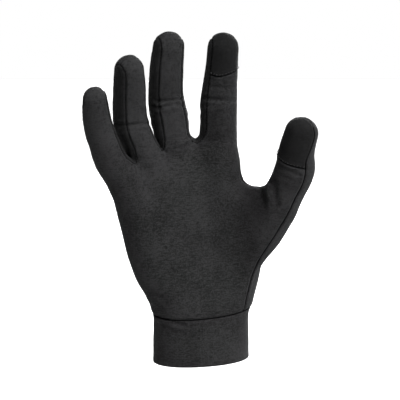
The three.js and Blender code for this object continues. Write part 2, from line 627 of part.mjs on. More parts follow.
// The cuff: a tube of doubled cloth below the body, folded at its lower edge.
const CUFF_AROUND = 40;
const CUFF_RINGS = [
  // z: height. out, in: how far the outer and inner faces stand from the wrist outline
  { z: CUFF_TOP - SEAM_GAP, out: 0, in: CUFF_CLOTH },
  { z: 30, out: 0.2, in: CUFF_CLOTH },
  { z: 20, out: 0.1, in: CUFF_CLOTH },
  { z: 10, out: 0, in: CUFF_CLOTH },
  { z: 0.9, out: 0.1, in: CUFF_CLOTH },
  { z: 0, out: 0.75, in: CUFF_CLOTH - 0.75 },
];
function cuff() {
  const ring = (z) => {
    const tilt = lerp(CUFF_TILT[0], CUFF_TILT[1], z / CUFF_TOP);
    const points = [];
    for (let i = 0; i < CUFF_AROUND; i++) {
      const to = flat((360 * i) / CUFF_AROUND);
      to.z = to.x * tilt + (to.y * CUFF_DIP * z) / CUFF_TOP;
      points.push({ p: hit({ from: new THREE.Vector3(0, 0, z), to: to.normalize() }) });
    }
    return points;
  };
  const all = [];
  const loops = [];
  const add = (z, depth) => {
    loops.push(all.length);
    const here = ring(z);
    here.forEach(({ p }, i) => {
      const next = here[(i + 1) % CUFF_AROUND].p;
      const last = here[(i + CUFF_AROUND - 1) % CUFF_AROUND].p;
      const n = next.clone().sub(last).cross(new THREE.Vector3(0, 0, 1)).normalize();
      all.push(p.clone().addScaledVector(n, -depth));
    });
  };
  for (const r of CUFF_RINGS) add(r.z, r.out);
  for (const r of [...CUFF_RINGS].reverse()) add(r.z, r.in);
  const tri = [];
  loops.forEach((a, k) => {
    const b = loops[(k + 1) % loops.length];
    for (let i = 0; i < CUFF_AROUND; i++) {
      const j = (i + 1) % CUFF_AROUND;
      tri.push(a + i, b + i, b + j, a + i, b + j, a + j);
    }
  });
  const g = new THREE.BufferGeometry();
  g.setAttribute('position', new THREE.Float32BufferAttribute(all.flatMap((p) => [p.x, p.y, p.z]), 3));
  g.setIndex(tri);
  return g;
}

// ---------- the glove ----------
const knit = { color: 0x2b2b2c, roughness: 0.9, metalness: 0 };
const MATERIALS = {
  knit: new THREE.MeshStandardMaterial(knit),
  side: new THREE.MeshStandardMaterial({ ...knit, color: 0x1c1c1d }),
  pad: new THREE.MeshStandardMaterial({ ...knit, color: 0x161617, roughness: 0.8 }),
  cuff: new THREE.MeshStandardMaterial({ ...knit, color: 0x29292a }),
};
const glove = new THREE.Group();
glove.name = 'glove_liner';
const add = (name, geometry, material) => {
  const mesh = new THREE.Mesh(geometry, material);
  mesh.name = name;
  glove.add(mesh);
};

const palm = panels(0);
const back = panels(1);
add('palm_panel', palm.main.build(), MATERIALS.knit);
add('back_panel', back.main.build(), MATERIALS.knit);
add('index_tip_pad', palm.pads.index.build(), MATERIALS.pad);
add('thumb_tip_pad', palm.pads.thumb.build(), MATERIALS.pad);
add('side_strip_little_ring', strip(0).build(), MATERIALS.side);
add('side_strip_ring_middle', strip(1).build(), MATERIALS.side);
add('side_strip_middle_index', strip(2).build(), MATERIALS.side);
add('cuff', cuff(), MATERIALS.cuff);

export default glove;
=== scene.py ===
# Knitted glove liner of the right side of a pair, in its worn form. Lengths in the tables are millimetres,
# in the same frame as the CAD: origin at the centre of the wrist opening, +Z to the fingertips,
# +X to the thumb side, the palm facing -Y. The cloth lies on the same skin as the CAD panels do, on a
# finer grid, with seams, folds, stitches and knit added.
import math

import bpy
import numpy as np
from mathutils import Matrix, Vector
from mathutils import noise as mnoise


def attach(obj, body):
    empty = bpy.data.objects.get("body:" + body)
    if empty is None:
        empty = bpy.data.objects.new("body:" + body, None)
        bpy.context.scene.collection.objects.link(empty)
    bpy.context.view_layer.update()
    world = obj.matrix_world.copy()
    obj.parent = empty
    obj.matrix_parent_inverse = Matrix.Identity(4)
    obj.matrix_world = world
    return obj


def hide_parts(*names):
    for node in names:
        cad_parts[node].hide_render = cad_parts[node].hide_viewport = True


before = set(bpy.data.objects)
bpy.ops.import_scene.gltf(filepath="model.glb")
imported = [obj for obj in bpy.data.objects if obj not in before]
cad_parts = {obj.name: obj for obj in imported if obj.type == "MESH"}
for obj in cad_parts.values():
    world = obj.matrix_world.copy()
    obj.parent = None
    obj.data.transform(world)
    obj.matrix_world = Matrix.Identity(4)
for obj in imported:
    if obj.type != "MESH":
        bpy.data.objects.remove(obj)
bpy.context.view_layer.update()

# z, x, y, half width, half depth, turn, squareness
BODY = np.array([
    (-12, 0.0, 0, 35.2, 24.5, 12, 2.1),
    (14, 0.0, 0, 35.2, 24.5, 12, 2.1),
    (36, 0.1, 0, 35.2, 24.2, 12, 2.1),
    (47, -0.4, 0, 39.2, 22.5, 12, 2.2),
    (60, -3.0, 0, 43.8, 20.5, 12, 2.3),
    (76, -6.4, 1, 46.6, 18.0, 12, 2.4),
    (96, -10.0, 1, 46.6, 16.0, 12, 2.5),
    (112, -12.6, 1, 46.2, 14.8, 13, 2.4),
    (124, -14.6, 1, 44.8, 13.6, 14, 2.3),
])
# x, y, z, half width, half depth, roll
DIGITS = {
    "little": np.array([
        (-10.5, -2.2, 37.6, 16, 14, 12),
        (-27.0, -5.0, 76, 16, 14, 12),
        (-41.5, -9.5, 108, 15.0, 13.5, 14),
        (-54.2, -16.8, 134, 12.8, 12.2, 20),
        (-63.2, -23.2, 149, 11.4, 10.4, 25),
        (-67.6, -28.8, 162, 10.5, 9.6, 27),
        (-70.4, -33.0, 172, 10.1, 9.2, 27),
        (-72.0, -38.5, 183.5, 9.2, 8.8, 26),
        (-72.4, -42.5, 192.6, 8.2, 8.1, 25),
    ]),
    "ring": np.array([
        (-5.5, -1.2, 37.6, 16, 14, 12),
        (-14.5, -1.0, 76, 16, 14, 12),
        (-24.0, -1.5, 108, 15, 13.5, 14),
        (-34.5, -4.5, 138, 12.5, 12.4, 20),
        (-43.2, -8.0, 158, 11.7, 11.2, 28),
        (-49.0, -13.0, 173, 12.4, 10.9, 32),
        (-50.1, -18.5, 188, 11.9, 10.4, 33),
        (-49.8, -24.0, 201, 11.4, 10.0, 33),
        (-49.6, -29.0, 211.9, 10.0, 9.7, 33),
    ]),
    "middle": np.array([
        (0.0, 0.0, 37.6, 16, 14, 12),
        (-4.5, 2.0, 76, 16, 14, 12),
        (-10.0, 4.0, 108, 15, 14, 14),
        (-15.8, 5.0, 140, 13.6, 13.2, 17),
        (-19.8, 4.0, 160, 12.2, 11.6, 19),
        (-22.3, 1.5, 175, 13.4, 11.4, 20),
        (-24.8, -3.0, 191, 12.6, 11.0, 20),
        (-24.3, -9.0, 210, 11.8, 10.6, 20),
        (-22.6, -14.0, 227.0, 10.8, 10.2, 20),
    ]),
    "index": np.array([
        (5.5, 1.2, 37.6, 16, 14, 12),
        (6.5, 4.0, 76, 16, 14, 12),
        (8.5, 7.0, 108, 16, 14, 8),
        (12.2, 8.0, 136, 16.2, 13.5, 4),
        (12.3, 7.5, 158, 13.4, 12.0, 1),
        (12.5, 5.5, 173, 12.8, 11.2, 0),
        (12.7, 2.0, 189.5, 12.9, 11.0, 0),
        (14.1, -2.0, 207.5, 11.5, 10.5, 0),
        (15.4, -6.0, 226.1, 10.8, 10.2, 0),
    ]),
    "thumb": np.array([
        (10.5, 2.2, 37.6, 16, 14, 12),
        (22.0, 1.0, 62, 16.6, 16, -8),
        (30.5, -2.5, 80, 16.2, 16.5, -24),
        (43.8, -7.0, 98, 16.3, 16.2, -36),
        (53.8, -12.0, 115, 15.0, 14.8, -42),
        (60.9, -16.0, 129, 14.0, 13.4, -45),
        (65.8, -20.0, 141.5, 14.6, 13.2, -45),
        (66.8, -23.0, 154.5, 13.0, 12.0, -45),
        (70.0, -26.0, 168.2, 11.9, 11.2, -45),
    ]),
}

# x, y, z of one end, then of the other, radius
WEBS = [
    ((14, 5, 124), (27, 2, 118), 9.5),
    ((27, 2, 118), (40, -4, 115.5), 9.5),
    ((40, -4, 115.5), (54, -11, 113), 9.5),
    ((-16, 4.5, 149.5), (8, 7.5, 149.5), 10),
]
# one end, the other, depth, half width
DENTS = [
    ((43, -15, 122), (44, -17, 110), 1.6, 3.0),
    ((52, -22, 124), (52, -24, 112), 1.3, 3.2),
    ((-34, -13, 191), (-18, -15, 191), 0.7, 2.4),
    ((4, -9, 190), (22, -9, 190), 0.7, 2.4),
    ((-57, -22, 173), (-42, -24, 173), 0.6, 2.4),
]
ORDER = ["little", "ring", "middle", "index", "thumb"]
CUT = {
    "little": dict(cols=7, rows=6, pad_rows=3, pad_mm=14, slant=0, bow=0, tip=8.6, left=(118, 118), right=(47, 118), pad=False),
    "ring": dict(cols=5, rows=7, pad_rows=3, pad_mm=18, slant=0, bow=0, tip=10.6, left=(47, 118), right=(47, 118), pad=False),
    "middle": dict(cols=5, rows=8, pad_rows=3, pad_mm=20, slant=0, bow=0, tip=11.0, left=(47, 118), right=(47, 118), pad=False),
    "index": dict(cols=7, rows=11, pad_rows=3, pad_mm=17.5, slant=-3, bow=2.4, tip=11.0, left=(47, 118), right=(97, 97), pad=True),
    "thumb": dict(cols=8, rows=9, pad_rows=3, pad_mm=19.5, slant=5, bow=0, tip=11.0, left=(88, 88), right=(72, 72), pad=True),
}
CROTCH = [
    dict(z=136, under=11, front=36, back=52, ease=5, wide=False),
    dict(z=142, under=11, front=32, back=52, ease=5, wide=False),
    dict(z=146, under=11, front=30, back=50, ease=5, wide=False),
    dict(z=112, under=13, front=-12, back=12, ease=19, wide=True),
]
FAN = [
    dict(palm_knuckle=-98, palm_wrist=-98, back_knuckle=262, back_wrist=262),
    dict(palm_knuckle=12, palm_wrist=-48, back_knuckle=203, back_wrist=226),
    dict(palm_knuckle=12, palm_wrist=-20, back_knuckle=200, back_wrist=200),
    dict(palm_knuckle=10, palm_wrist=6, back_knuckle=190, back_wrist=174),
    dict(palm_knuckle=-5, palm_wrist=34, back_knuckle=165, back_wrist=140),
    dict(palm_knuckle=33, palm_wrist=56, back_knuckle=33, back_wrist=56),
]
OUTER_BASE_MM = {"little": -6, "thumb": 6}
CLOTH, CUFF_CLOTH = 1.2, 2.2
CUFF_TOP, CUFF_TILT, CUFF_DIP = 37.6, (0.026, 0.048), 0.1
WEB_BLEND, WEB_REACH, RIDGE_BLEND, BODY_TOP_ROUND = 9, 13, 8, 22
PALM_ROWS, TIP_ROWS, STATIONS = 10, 4, 48

ROW_STEPS = 7
COL_STEPS = 4
STRIP_STEPS = 12


# ------------------------------------------------------------------ the skin
def dot(a, b):
    return np.einsum("...i,...i->...", a, b)


def unit(v):
    return v / np.maximum(np.linalg.norm(v, axis=-1, keepdims=True), 1e-9)


def smooth(a, b, v):
    t = np.clip((v - a) / (b - a), 0, 1)
    return t * t * (3 - 2 * t)


def along(rows, t):
    """Catmull-Rom through a table's rows."""
    n = len(rows)
    i = np.clip(np.floor(t).astype(int), 0, n - 2)
    f = (t - i)[:, None]
    p0, p1, p2, p3 = rows[np.maximum(i - 1, 0)], rows[i], rows[i + 1], rows[np.minimum(i + 2, n - 1)]
    m1 = (p2 - p0) / np.where(i > 0, 2.0, 1.0)[:, None]
    m2 = (p3 - p1) / np.where(i + 2 < n, 2.0, 1.0)[:, None]
    f2, f3 = f * f, f * f * f
    return (2 * f3 - 3 * f2 + 1) * p1 + (f3 - 2 * f2 + f) * m1 + (-2 * f3 + 3 * f2) * p2 + (f3 - f2) * m2


class Bone:
    """A digit's bone line as evenly spaced stations."""

    def __init__(self, rows):
        t = np.linspace(0, len(rows) - 1, 401)
        c = along(rows, t)[:, :3]
        run = np.concatenate([[0], np.cumsum(np.linalg.norm(np.diff(c, axis=0), axis=1))])
        goal = run[-1] * np.arange(STATIONS + 1) / STATIONS
        j = np.clip(np.searchsorted(run, goal, side="left") - 1, 0, 399)
        f = np.clip((goal - run[j]) / (run[j + 1] - run[j]), 0, 1)
        r = along(rows, t[j] + (t[j + 1] - t[j]) * f)
        self.c, self.a, self.b, self.length = r[:, :3], r[:, 3], r[:, 4], run[-1]
        k = np.arange(STATIONS + 1)
        self.up = unit(self.c[np.minimum(k + 1, STATIONS)] - self.c[np.maximum(k - 1, 0)])
        roll = np.radians(r[:, 5])
        front = np.stack([np.sin(roll), -np.cos(roll), 0 * roll], 1)
        self.front = unit(front - self.up * dot(front, self.up)[:, None])

    def at(self, s):
        s = np.atleast_1d(s)
        t = np.clip(s, 0, 1) * STATIONS
        i = np.minimum(np.floor(t).astype(int), STATIONS - 1)
        f = (t - i)[:, None]
        mix = lambda k: k[i] + (k[i + 1] - k[i]) * f
        up = unit(mix(self.up))
        front = mix(self.front)
        front = unit(front - up * dot(front, up)[:, None])
        a = self.a[i] + (self.a[i + 1] - self.a[i]) * f[:, 0]
        b = self.b[i] + (self.b[i + 1] - self.b[i]) * f[:, 0]
        return mix(self.c), up, front, np.cross(up, front), a, b


BONES = {g: Bone(DIGITS[g]) for g in ORDER}


def digit_distance(g, p):
    bone = BONES[g]
    c = bone.c
    near = np.argmin((c * c).sum(1)[None] - 2 * p @ c.T, axis=1)
    best, at = np.full(len(p), np.inf), np.zeros(len(p))
    for side in (-1, 0):
        i = np.clip(near + side, 0, STATIONS - 1)
        e = c[i + 1] - c[i]
        t = np.clip(dot(p - c[i], e) / dot(e, e), 0, 1)
        d = ((p - c[i] - e * t[:, None]) ** 2).sum(1)
        m = d < best
        best[m], at[m] = d[m], (i[m] + t[m]) / STATIONS
    o, up, front, across, a, b = bone.at(at)
    d = p - o
    u, v = dot(d, across), dot(d, front)
    end = np.where(at >= 1, dot(d, up), 0)
    start = np.where(at <= 0, dot(d, up), 0)
    w, cc = end + start, np.where(end != 0, CUT[g]["tip"], b)
    k0 = np.sqrt((u / a) ** 2 + (v / b) ** 2 + (w / cc) ** 2)
    slope = np.sqrt((u / (a * a)) ** 2 + (v / (b * b)) ** 2 + (w / (cc * cc)) ** 2)
    return np.where(k0 < 1e-3, -np.minimum(a, b), (k0 - 1) * k0 / np.maximum(slope, 1e-9))


def body_distance(p):
    zt = BODY[:, 0]
    z = np.clip(p[:, 2], zt[0], zt[-1])
    i = np.clip(np.searchsorted(zt[1:], z, side="left"), 0, len(zt) - 2)
    r = along(BODY, i + (z - zt[i]) / (zt[i + 1] - zt[i]))
    x, y, a, b, turn, n = (r[:, k] for k in range(1, 7))
    cs, sn = np.cos(np.radians(turn)), np.sin(np.radians(turn))
    u = np.abs((p[:, 0] - x) * cs + (p[:, 1] - y) * sn)
    v = np.abs(-(p[:, 0] - x) * sn + (p[:, 1] - y) * cs)
    w = np.maximum(p[:, 2] - zt[-1], 0)
    k0 = ((u / a) ** n + (v / b) ** n + (w / BODY_TOP_ROUND) ** n) ** (1 / n)
    q = np.maximum(k0, 1e-6) ** (1 - n)
    slope = np.sqrt((q * (u / a) ** (n - 1) / a) ** 2 + (q * (v / b) ** (n - 1) / b) ** 2 + (q * (w / BODY_TOP_ROUND) ** (n - 1) / BODY_TOP_ROUND) ** 2)
    return np.where(k0 < 1e-3, -b, (k0 - 1) / np.maximum(slope, 1e-9))


def segment(a, b, p):
    a, b = np.array(a, float), np.array(b, float)
    e = b - a
    t = np.clip((p - a) @ e / (e @ e), 0, 1)
    return np.linalg.norm(p - a - t[:, None] * e, axis=1)


def blend_min(a, b, k):
    h = np.maximum(k - np.abs(a - b), 0) / k
    return np.minimum(a, b) - h * h * k / 4


def skin(p):
    body = body_distance(p)
    k = 0.4 + WEB_BLEND * (1 - smooth(1, WEB_REACH, body))
    f = body
    for g in ORDER:
        f = blend_min(f, digit_distance(g, p), k)
    for a, b, r in WEBS:
        f = blend_min(f, segment(a, b, p) - r, RIDGE_BLEND)
    for a, b, depth, half in DENTS:
        f = f + depth * np.exp(-((segment(a, b, p) / half) ** 2))
    return f


def normals_at(p):
    e = 0.4
    out = np.zeros_like(p)
    for k in range(3):
        d = np.zeros(3)
        d[k] = e
        out[:, k] = skin(p + d) - skin(p - d)
    return unit(out)


def hit(src, to):
    """Where rays from inside the glove first leave the skin."""
    n = len(src)
    lo, hi = np.zeros(n), np.full(n, 0.5)
    f_lo, f_hi = np.full(n, -1.0), skin(src + to * 0.5)
    live = np.flatnonzero(f_hi < 0)
    while len(live):
        lo[live], f_lo[live] = hi[live], f_hi[live]
        hi[live] += np.clip(-f_hi[live] * 0.5, 0.3, 3)
        f_hi[live] = skin(src[live] + to[live] * hi[live][:, None])
        live = live[(f_hi[live] < 0) & (hi[live] < 120)]
    for k in range(7):
        mid = (lo + hi) / 2 if k % 2 else lo + (hi - lo) * np.clip(-f_lo / np.maximum(f_hi - f_lo, 1e-9), 0.05, 0.95)
        f = skin(src + to * mid[:, None])
        inside = f < 0
        lo, f_lo = np.where(inside, mid, lo), np.where(inside, f, f_lo)
        hi, f_hi = np.where(inside, hi, mid), np.where(inside, f_hi, f)
    return src + to * (lo + (hi - lo) * np.clip(-f_lo / np.maximum(f_hi - f_lo, 1e-9), 0, 1))[:, None]


# ------------------------------------------------------------------ the layout
def slerp(a, b, t):
    a, b = np.broadcast_arrays(a, b)
    t = np.broadcast_to(np.asarray(t, float), a.shape[:-1])[..., None]
    w = np.arccos(np.clip(dot(a, b), -1, 1))[..., None]
    s = np.maximum(np.sin(w), 1e-6)
    out = unit(a * np.sin((1 - t) * w) / s + b * np.sin(t * w) / s)
    return np.where(w < 1e-4, a, out)


def flat(deg):
    r = np.radians(np.atleast_1d(deg))
    return np.stack([np.sin(r), -np.cos(r), 0 * r], 1)


def mix_ray(a, b, t):
    t = np.broadcast_to(np.asarray(t, float), (len(a[0]),))
    return a[0] + (b[0] - a[0]) * t[:, None], slerp(a[1], b[1], t)


def station_at(g, z):
    c = BONES[g].c[:, 2]
    i = 0
    while i < STATIONS - 1 and c[i + 1] < z:
        i += 1
    return BONES[g].at((i + np.clip((z - c[i]) / (c[i + 1] - c[i]), 0, 1)) / STATIONS)


def find_gap(i):
    c = CROTCH[i]

    def most(z):
        a, b = station_at(ORDER[i], z)[0], station_at(ORDER[i + 1], z)[0]
        p = a + (b - a) * (np.arange(61) / 60)[:, None]
        f = skin(p)
        k = int(np.argmax(f))
        return f[k], p[k]

    hi = c["z"]
    while most(hi)[0] < 0:
        hi += 1
    lo = hi - 1
    for _ in range(10):
        mid = (lo + hi) / 2
        if most(mid)[0] < 0:
            lo = mid
        else:
            hi = mid
    saddle = most(hi)[1]
    l, r = (station_at(g, saddle[2] - c["under"] / 2) for g in ORDER[i : i + 2])
    up = unit(l[1] + r[1])
    front = unit(l[2] + r[2])
    front = unit(front - up * dot(front, up)[:, None])
    return dict(up=up, front=front, saddle=saddle, src=saddle - up * c["under"])


GAPS = [find_gap(i) for i in range(4)]
BASE = {}
for _i, _g in enumerate(ORDER):
    def _near(k, g=_g):
        if k < 0 or k > 3:
            return None
        s = np.arange(601) / 600
        return s[int(np.argmin(np.linalg.norm(BONES[g].at(s)[0] - GAPS[k]["saddle"], axis=1)))]
    _l, _r = _near(_i - 1), _near(_i)
    if _l is None:
        _l = _r + OUTER_BASE_MM[_g] / BONES[_g].length
    if _r is None:
        _r = _l + OUTER_BASE_MM[_g] / BONES[_g].length
    BASE[_g] = (_l, _r)


def base_of(g, t):
    return BASE[g][0] + (BASE[g][1] - BASE[g][0]) * (t + 1) / 2


def last_row(g):
    return CUT[g]["rows"] + CUT[g]["pad_rows"] + TIP_ROWS


def digit_row(g, r, t):
    cut = CUT[g]
    r = np.atleast_1d(np.asarray(r, float))
    pad = 1 - (cut["pad_mm"] + cut["slant"] * t / 2 - cut["bow"] * t * t) / BONES[g].length
    body = cut["rows"] + cut["pad_rows"]
    base = base_of(g, t)
    low = base + (pad - base) * np.clip(r / cut["rows"], 0, None) ** 1.3
    mid = pad + (1 - pad) * (r - cut["rows"]) / cut["pad_rows"]
    s = np.where(r <= cut["rows"], low, np.where(r <= body, mid, 1.0))
    return s, np.where(r > body, 90 * (r - body) / TIP_ROWS, 0.0)


def side_ray(g, side, r, w):
    s, over = digit_row(g, r, side)
    c, up, front, across, _, _ = BONES[g].at(s)
    palm, back = CUT[g]["left"] if side < 0 else CUT[g]["right"]
    across = across * side
    o = np.radians(over)[:, None]

    def tilt(f, deg):
        mid = f * np.cos(o) + up * np.sin(o)
        d = np.radians(deg)[:, None]
        return across * np.sin(d) + mid * np.cos(d)

    k = over / 90
    if palm == back:
        deg = np.radians(palm + (90 - palm) * smooth(CUT[g]["rows"], CUT[g]["rows"] + CUT[g]["pad_rows"], np.asarray(r, float)))[:, None]
        below = across * np.sin(deg) + front * np.cos(deg)
        above = across * math.sin(math.radians(50)) + up * math.cos(math.radians(50))
        return c, slerp(below, above, k)
    f = tilt(front, palm + (50 - palm) * k)
    b = tilt(-front, (180 - back) + (50 - (180 - back)) * k)
    return c, slerp(f, b, w)


def crotch_ray(i, w, n):
    deg = math.radians(CROTCH[i]["front"] + (-CROTCH[i]["back"] - CROTCH[i]["front"]) * w)
    g = GAPS[i]
    return np.repeat(g["src"], n, 0), np.repeat(g["front"] * math.sin(deg) + g["up"] * math.cos(deg), n, 0)


def lean(g, side, r, reach):
    i = ORDER.index(g) - (1 if side < 0 else 0)
    if i < 0 or i > 3:
        return -1, 0
    rise = (digit_row(g, r, side)[0] - base_of(g, side)) * BONES[g].length
    return i, np.exp(-((rise / (CROTCH[i]["ease"] * reach)) ** 2))


def edge_ray(g, side, r, w):
    i, k = lean(g, side, r, 1)
    own = side_ray(g, side, r, w)
    return own if i < 0 else mix_ray(own, crotch_ray(i, w, len(own[0])), k)


def digit_ray(g, t, r, w):
    s, over = digit_row(g, r, t)
    c, up, front, _, _, _ = BONES[g].at(s)
    o = np.radians(over)[:, None]
    mid = front * (-1 if w else 1) * np.cos(o) + up * np.sin(o)
    side = -1 if t < 0 else 1
    a = abs(t)
    i, k = lean(g, side, r, 2 - a)
    if i >= 0 and CROTCH[i]["wide"]:
        return mix_ray((c, mid), edge_ray(g, side, r, w), a)
    own = (c, slerp(mid, side_ray(g, side, r, w)[1], a))
    return own if i < 0 else mix_ray(own, crotch_ray(i, w, len(c)), a * a * k)


def palm_spine(g, t, down):
    i = ORDER.index(g)
    j = i - 1 if t < 0 else i + 1
    n = ORDER[j] if 0 <= j <= 4 else None
    k = abs(t) if n else 0
    sg = -1 if t < 0 else 1 if t > 0 else 0
    c = BONES[g].at(base_of(g, t) * (1 - down))[0]
    level = down * BONES[g].length * base_of(g, t)
    if not n:
        return c, level
    e0 = BONES[g].at(base_of(g, sg) * (1 - down))[0]
    e1 = BONES[n].at(base_of(n, -sg) * (1 - down))[0]
    other = down * BONES[n].length * base_of(n, -sg)
    return c + ((e0 + e1) / 2 - c) * k, level + ((level + other) / 2 - level) * k


def palm_ray(g, t, q, w):
    i = ORDER.index(g)
    down = q / PALM_ROWS
    c, level = palm_spine(g, t, down)
    front = BONES[g].at(base_of(g, 0))[2][0]
    mid = math.degrees(math.atan2(front[0], -front[1])) + (180 if w else 0)
    key = "back_" if w else "palm_"
    edge = [FAN[i][key + "knuckle"], FAN[i + 1][key + "knuckle"]][0 if t < 0 else 1]
    knuckle = flat(mid + (edge - mid) * abs(t))
    wr = [FAN[i][key + "wrist"], FAN[i + 1][key + "wrist"]]
    wrist = flat(wr[0] + (wr[1] - wr[0]) * (t + 1) / 2)
    top = digit_ray(g, t, np.zeros(1), w)
    n = len(q)
    to = slerp(slerp(np.repeat(top[1], n, 0), np.repeat(knuckle, n, 0), smooth(0, 26, level)), np.repeat(wrist, n, 0), smooth(0.2, 1, down))
    shift = top[0] - palm_spine(g, t, np.zeros(1))[0]
    src = c + shift * (1 - smooth(0, 22, level))[:, None]
    f = np.clip(q - (PALM_ROWS - 1), 0, 1)
    to[:, 2] += (to[:, 0] * CUFF_TILT[1] + to[:, 1] * CUFF_DIP - to[:, 2]) * f
    src[:, 2] += (CUFF_TOP + src[:, 0] * CUFF_TILT[1] + src[:, 1] * CUFF_DIP - src[:, 2]) * f
    return src, unit(to)


# ------------------------------------------------------------------ grids
def steps(a, b, n, at=()):
    """Evenly spaced values, with extra ones close to the places in at."""
    v = list(np.linspace(a, b, int(round((b - a) * n)) + 1))
    for p in at:
        v += [p + d for d in (-0.24, -0.1, -0.035, 0.035, 0.1, 0.24)]
    v = sorted(x for x in v if a - 1e-9 <= x <= b + 1e-9)
    out = [v[0]]
    for x in v[1:]:
        if x - out[-1] > 0.028 or abs(x - b) < 1e-9 or any(abs(x - p) < 1e-9 for p in at):
            if x - out[-1] < 0.028 and len(out) > 1:
                out.pop()
            out.append(x)
    return np.array(out)


BELOW = steps(-PALM_ROWS, 0, ROW_STEPS, (-PALM_ROWS,))
BELOW[np.abs(BELOW) < 1e-9] = 0.0
ABOVE = {g: steps(0, last_row(g), ROW_STEPS, (CUT[g]["rows"],) if CUT[g]["pad"] else ())[1:] for g in ORDER}


def columns(n):
    u = np.linspace(-1, 1, n * COL_STEPS + 1)
    return u + 0.5 * np.sin(np.pi * u) / np.pi


def panel(w):
    """Rays, quads by sheet and the row and column of each corner of the palm side (0) or the back (1)."""
    src, to, info, quads, n, before = [], [], [], {"main": [], "index": [], "thumb": []}, 0, None
    for i, g in enumerate(ORDER):
        rows, cols = np.concatenate([BELOW, ABOVE[g]]), columns(CUT[g]["cols"])
        low = rows < 0
        a, b = np.zeros((len(rows), len(cols), 3)), np.zeros((len(rows), len(cols), 3))
        for c, t in enumerate(cols):
            t = float(np.clip(t, -1, 1))
            a[low, c], b[low, c] = palm_ray(g, t, -rows[low], w)
            a[~low, c], b[~low, c] = digit_ray(g, t, rows[~low], w)
        ids = np.arange(n, n + a.shape[0] * a.shape[1]).reshape(a.shape[:2])
        n += ids.size
        src.append(a.reshape(-1, 3))
        to.append(b.reshape(-1, 3))
        info.append(ids.copy())
        if before is not None:
            ids[: len(BELOW), 0] = before[: len(BELOW), -1]
        before = ids
        q = np.stack([ids[:-1, :-1], ids[:-1, 1:], ids[1:, 1:], ids[1:, :-1]], -1)
        if w:
            q = q[..., ::-1]
        pad = (rows[:-1] >= CUT[g]["rows"] - 1e-9) if (not w and CUT[g]["pad"]) else np.zeros(len(rows) - 1, bool)
        quads["main"].append(q[~pad].reshape(-1, 4))
        if pad.any():
            quads[g].append(q[pad].reshape(-1, 4))
        info[-1] = ids
    return np.concatenate(src), np.concatenate(to), info, {k: np.concatenate(v) for k, v in quads.items() if v}


def strip(i):
    l, r = ORDER[i], ORDER[i + 1]
    ws = (lambda u: u - 0.45 * np.sin(2 * np.pi * u) / (2 * np.pi))(np.linspace(0, 1, STRIP_STEPS + 1))
    left, right = np.concatenate([ABOVE[l][::-1], [0.0]]), ABOVE[r]
    n = len(left) + len(right)
    a, b = np.zeros((n, len(ws), 3)), np.zeros((n, len(ws), 3))
    for c, w in enumerate(ws):
        a[: len(left), c], b[: len(left), c] = edge_ray(l, 1, left, w)
        a[len(left) :, c], b[len(left) :, c] = edge_ray(r, -1, right, w)
    ids = np.arange(a.shape[0] * a.shape[1]).reshape(a.shape[:2])
    ids[0, :], ids[-1, :] = ids[0, 0], ids[-1, 0]
    q = np.stack([ids[:-1, :-1], ids[1:, :-1], ids[1:, 1:], ids[:-1, 1:]], -1).reshape(-1, 4)
    return a.reshape(-1, 3), b.reshape(-1, 3), ids, q, len(left) - 1


# ------------------------------------------------------------------ cloth relief
def noise_at(p, size, seed=0.0):
    """Smooth noise in -1..1 at points in mm."""
    q = p / size + seed
    return np.array([mnoise.noise(Vector(v)) for v in q.tolist()])


# creases: one end, the other, depth, half width, how far from the line in depth it reaches (mm)
CREASES = [
    ((-36, 12, 190.0), (-16, 12, 193.0), 0.6, 2.0),
    ((-34, 13, 183.0), (-18, 13, 184.0), 0.4, 2.0),
    ((4, 15, 188.0), (24, 15, 190.0), 0.6, 2.0),
    ((-60, -2, 172.0), (-42, -1, 175.0), 0.55, 2.0),
    ((-78, -14, 160.0), (-64, -12, 163.0), 0.5, 2.0),
    ((56, -6, 146.0), (74, -12, 142.0), 0.6, 1.8),
    ((-34, 13, 47.0), (-20, 20, 43.5), 0.7, 1.6),
    ((15, 22, 46.0), (33, 12, 49.5), 0.7, 1.6),
    ((-50, 6, 62.0), (-30, 18, 54.0), 0.45, 2.6),
]
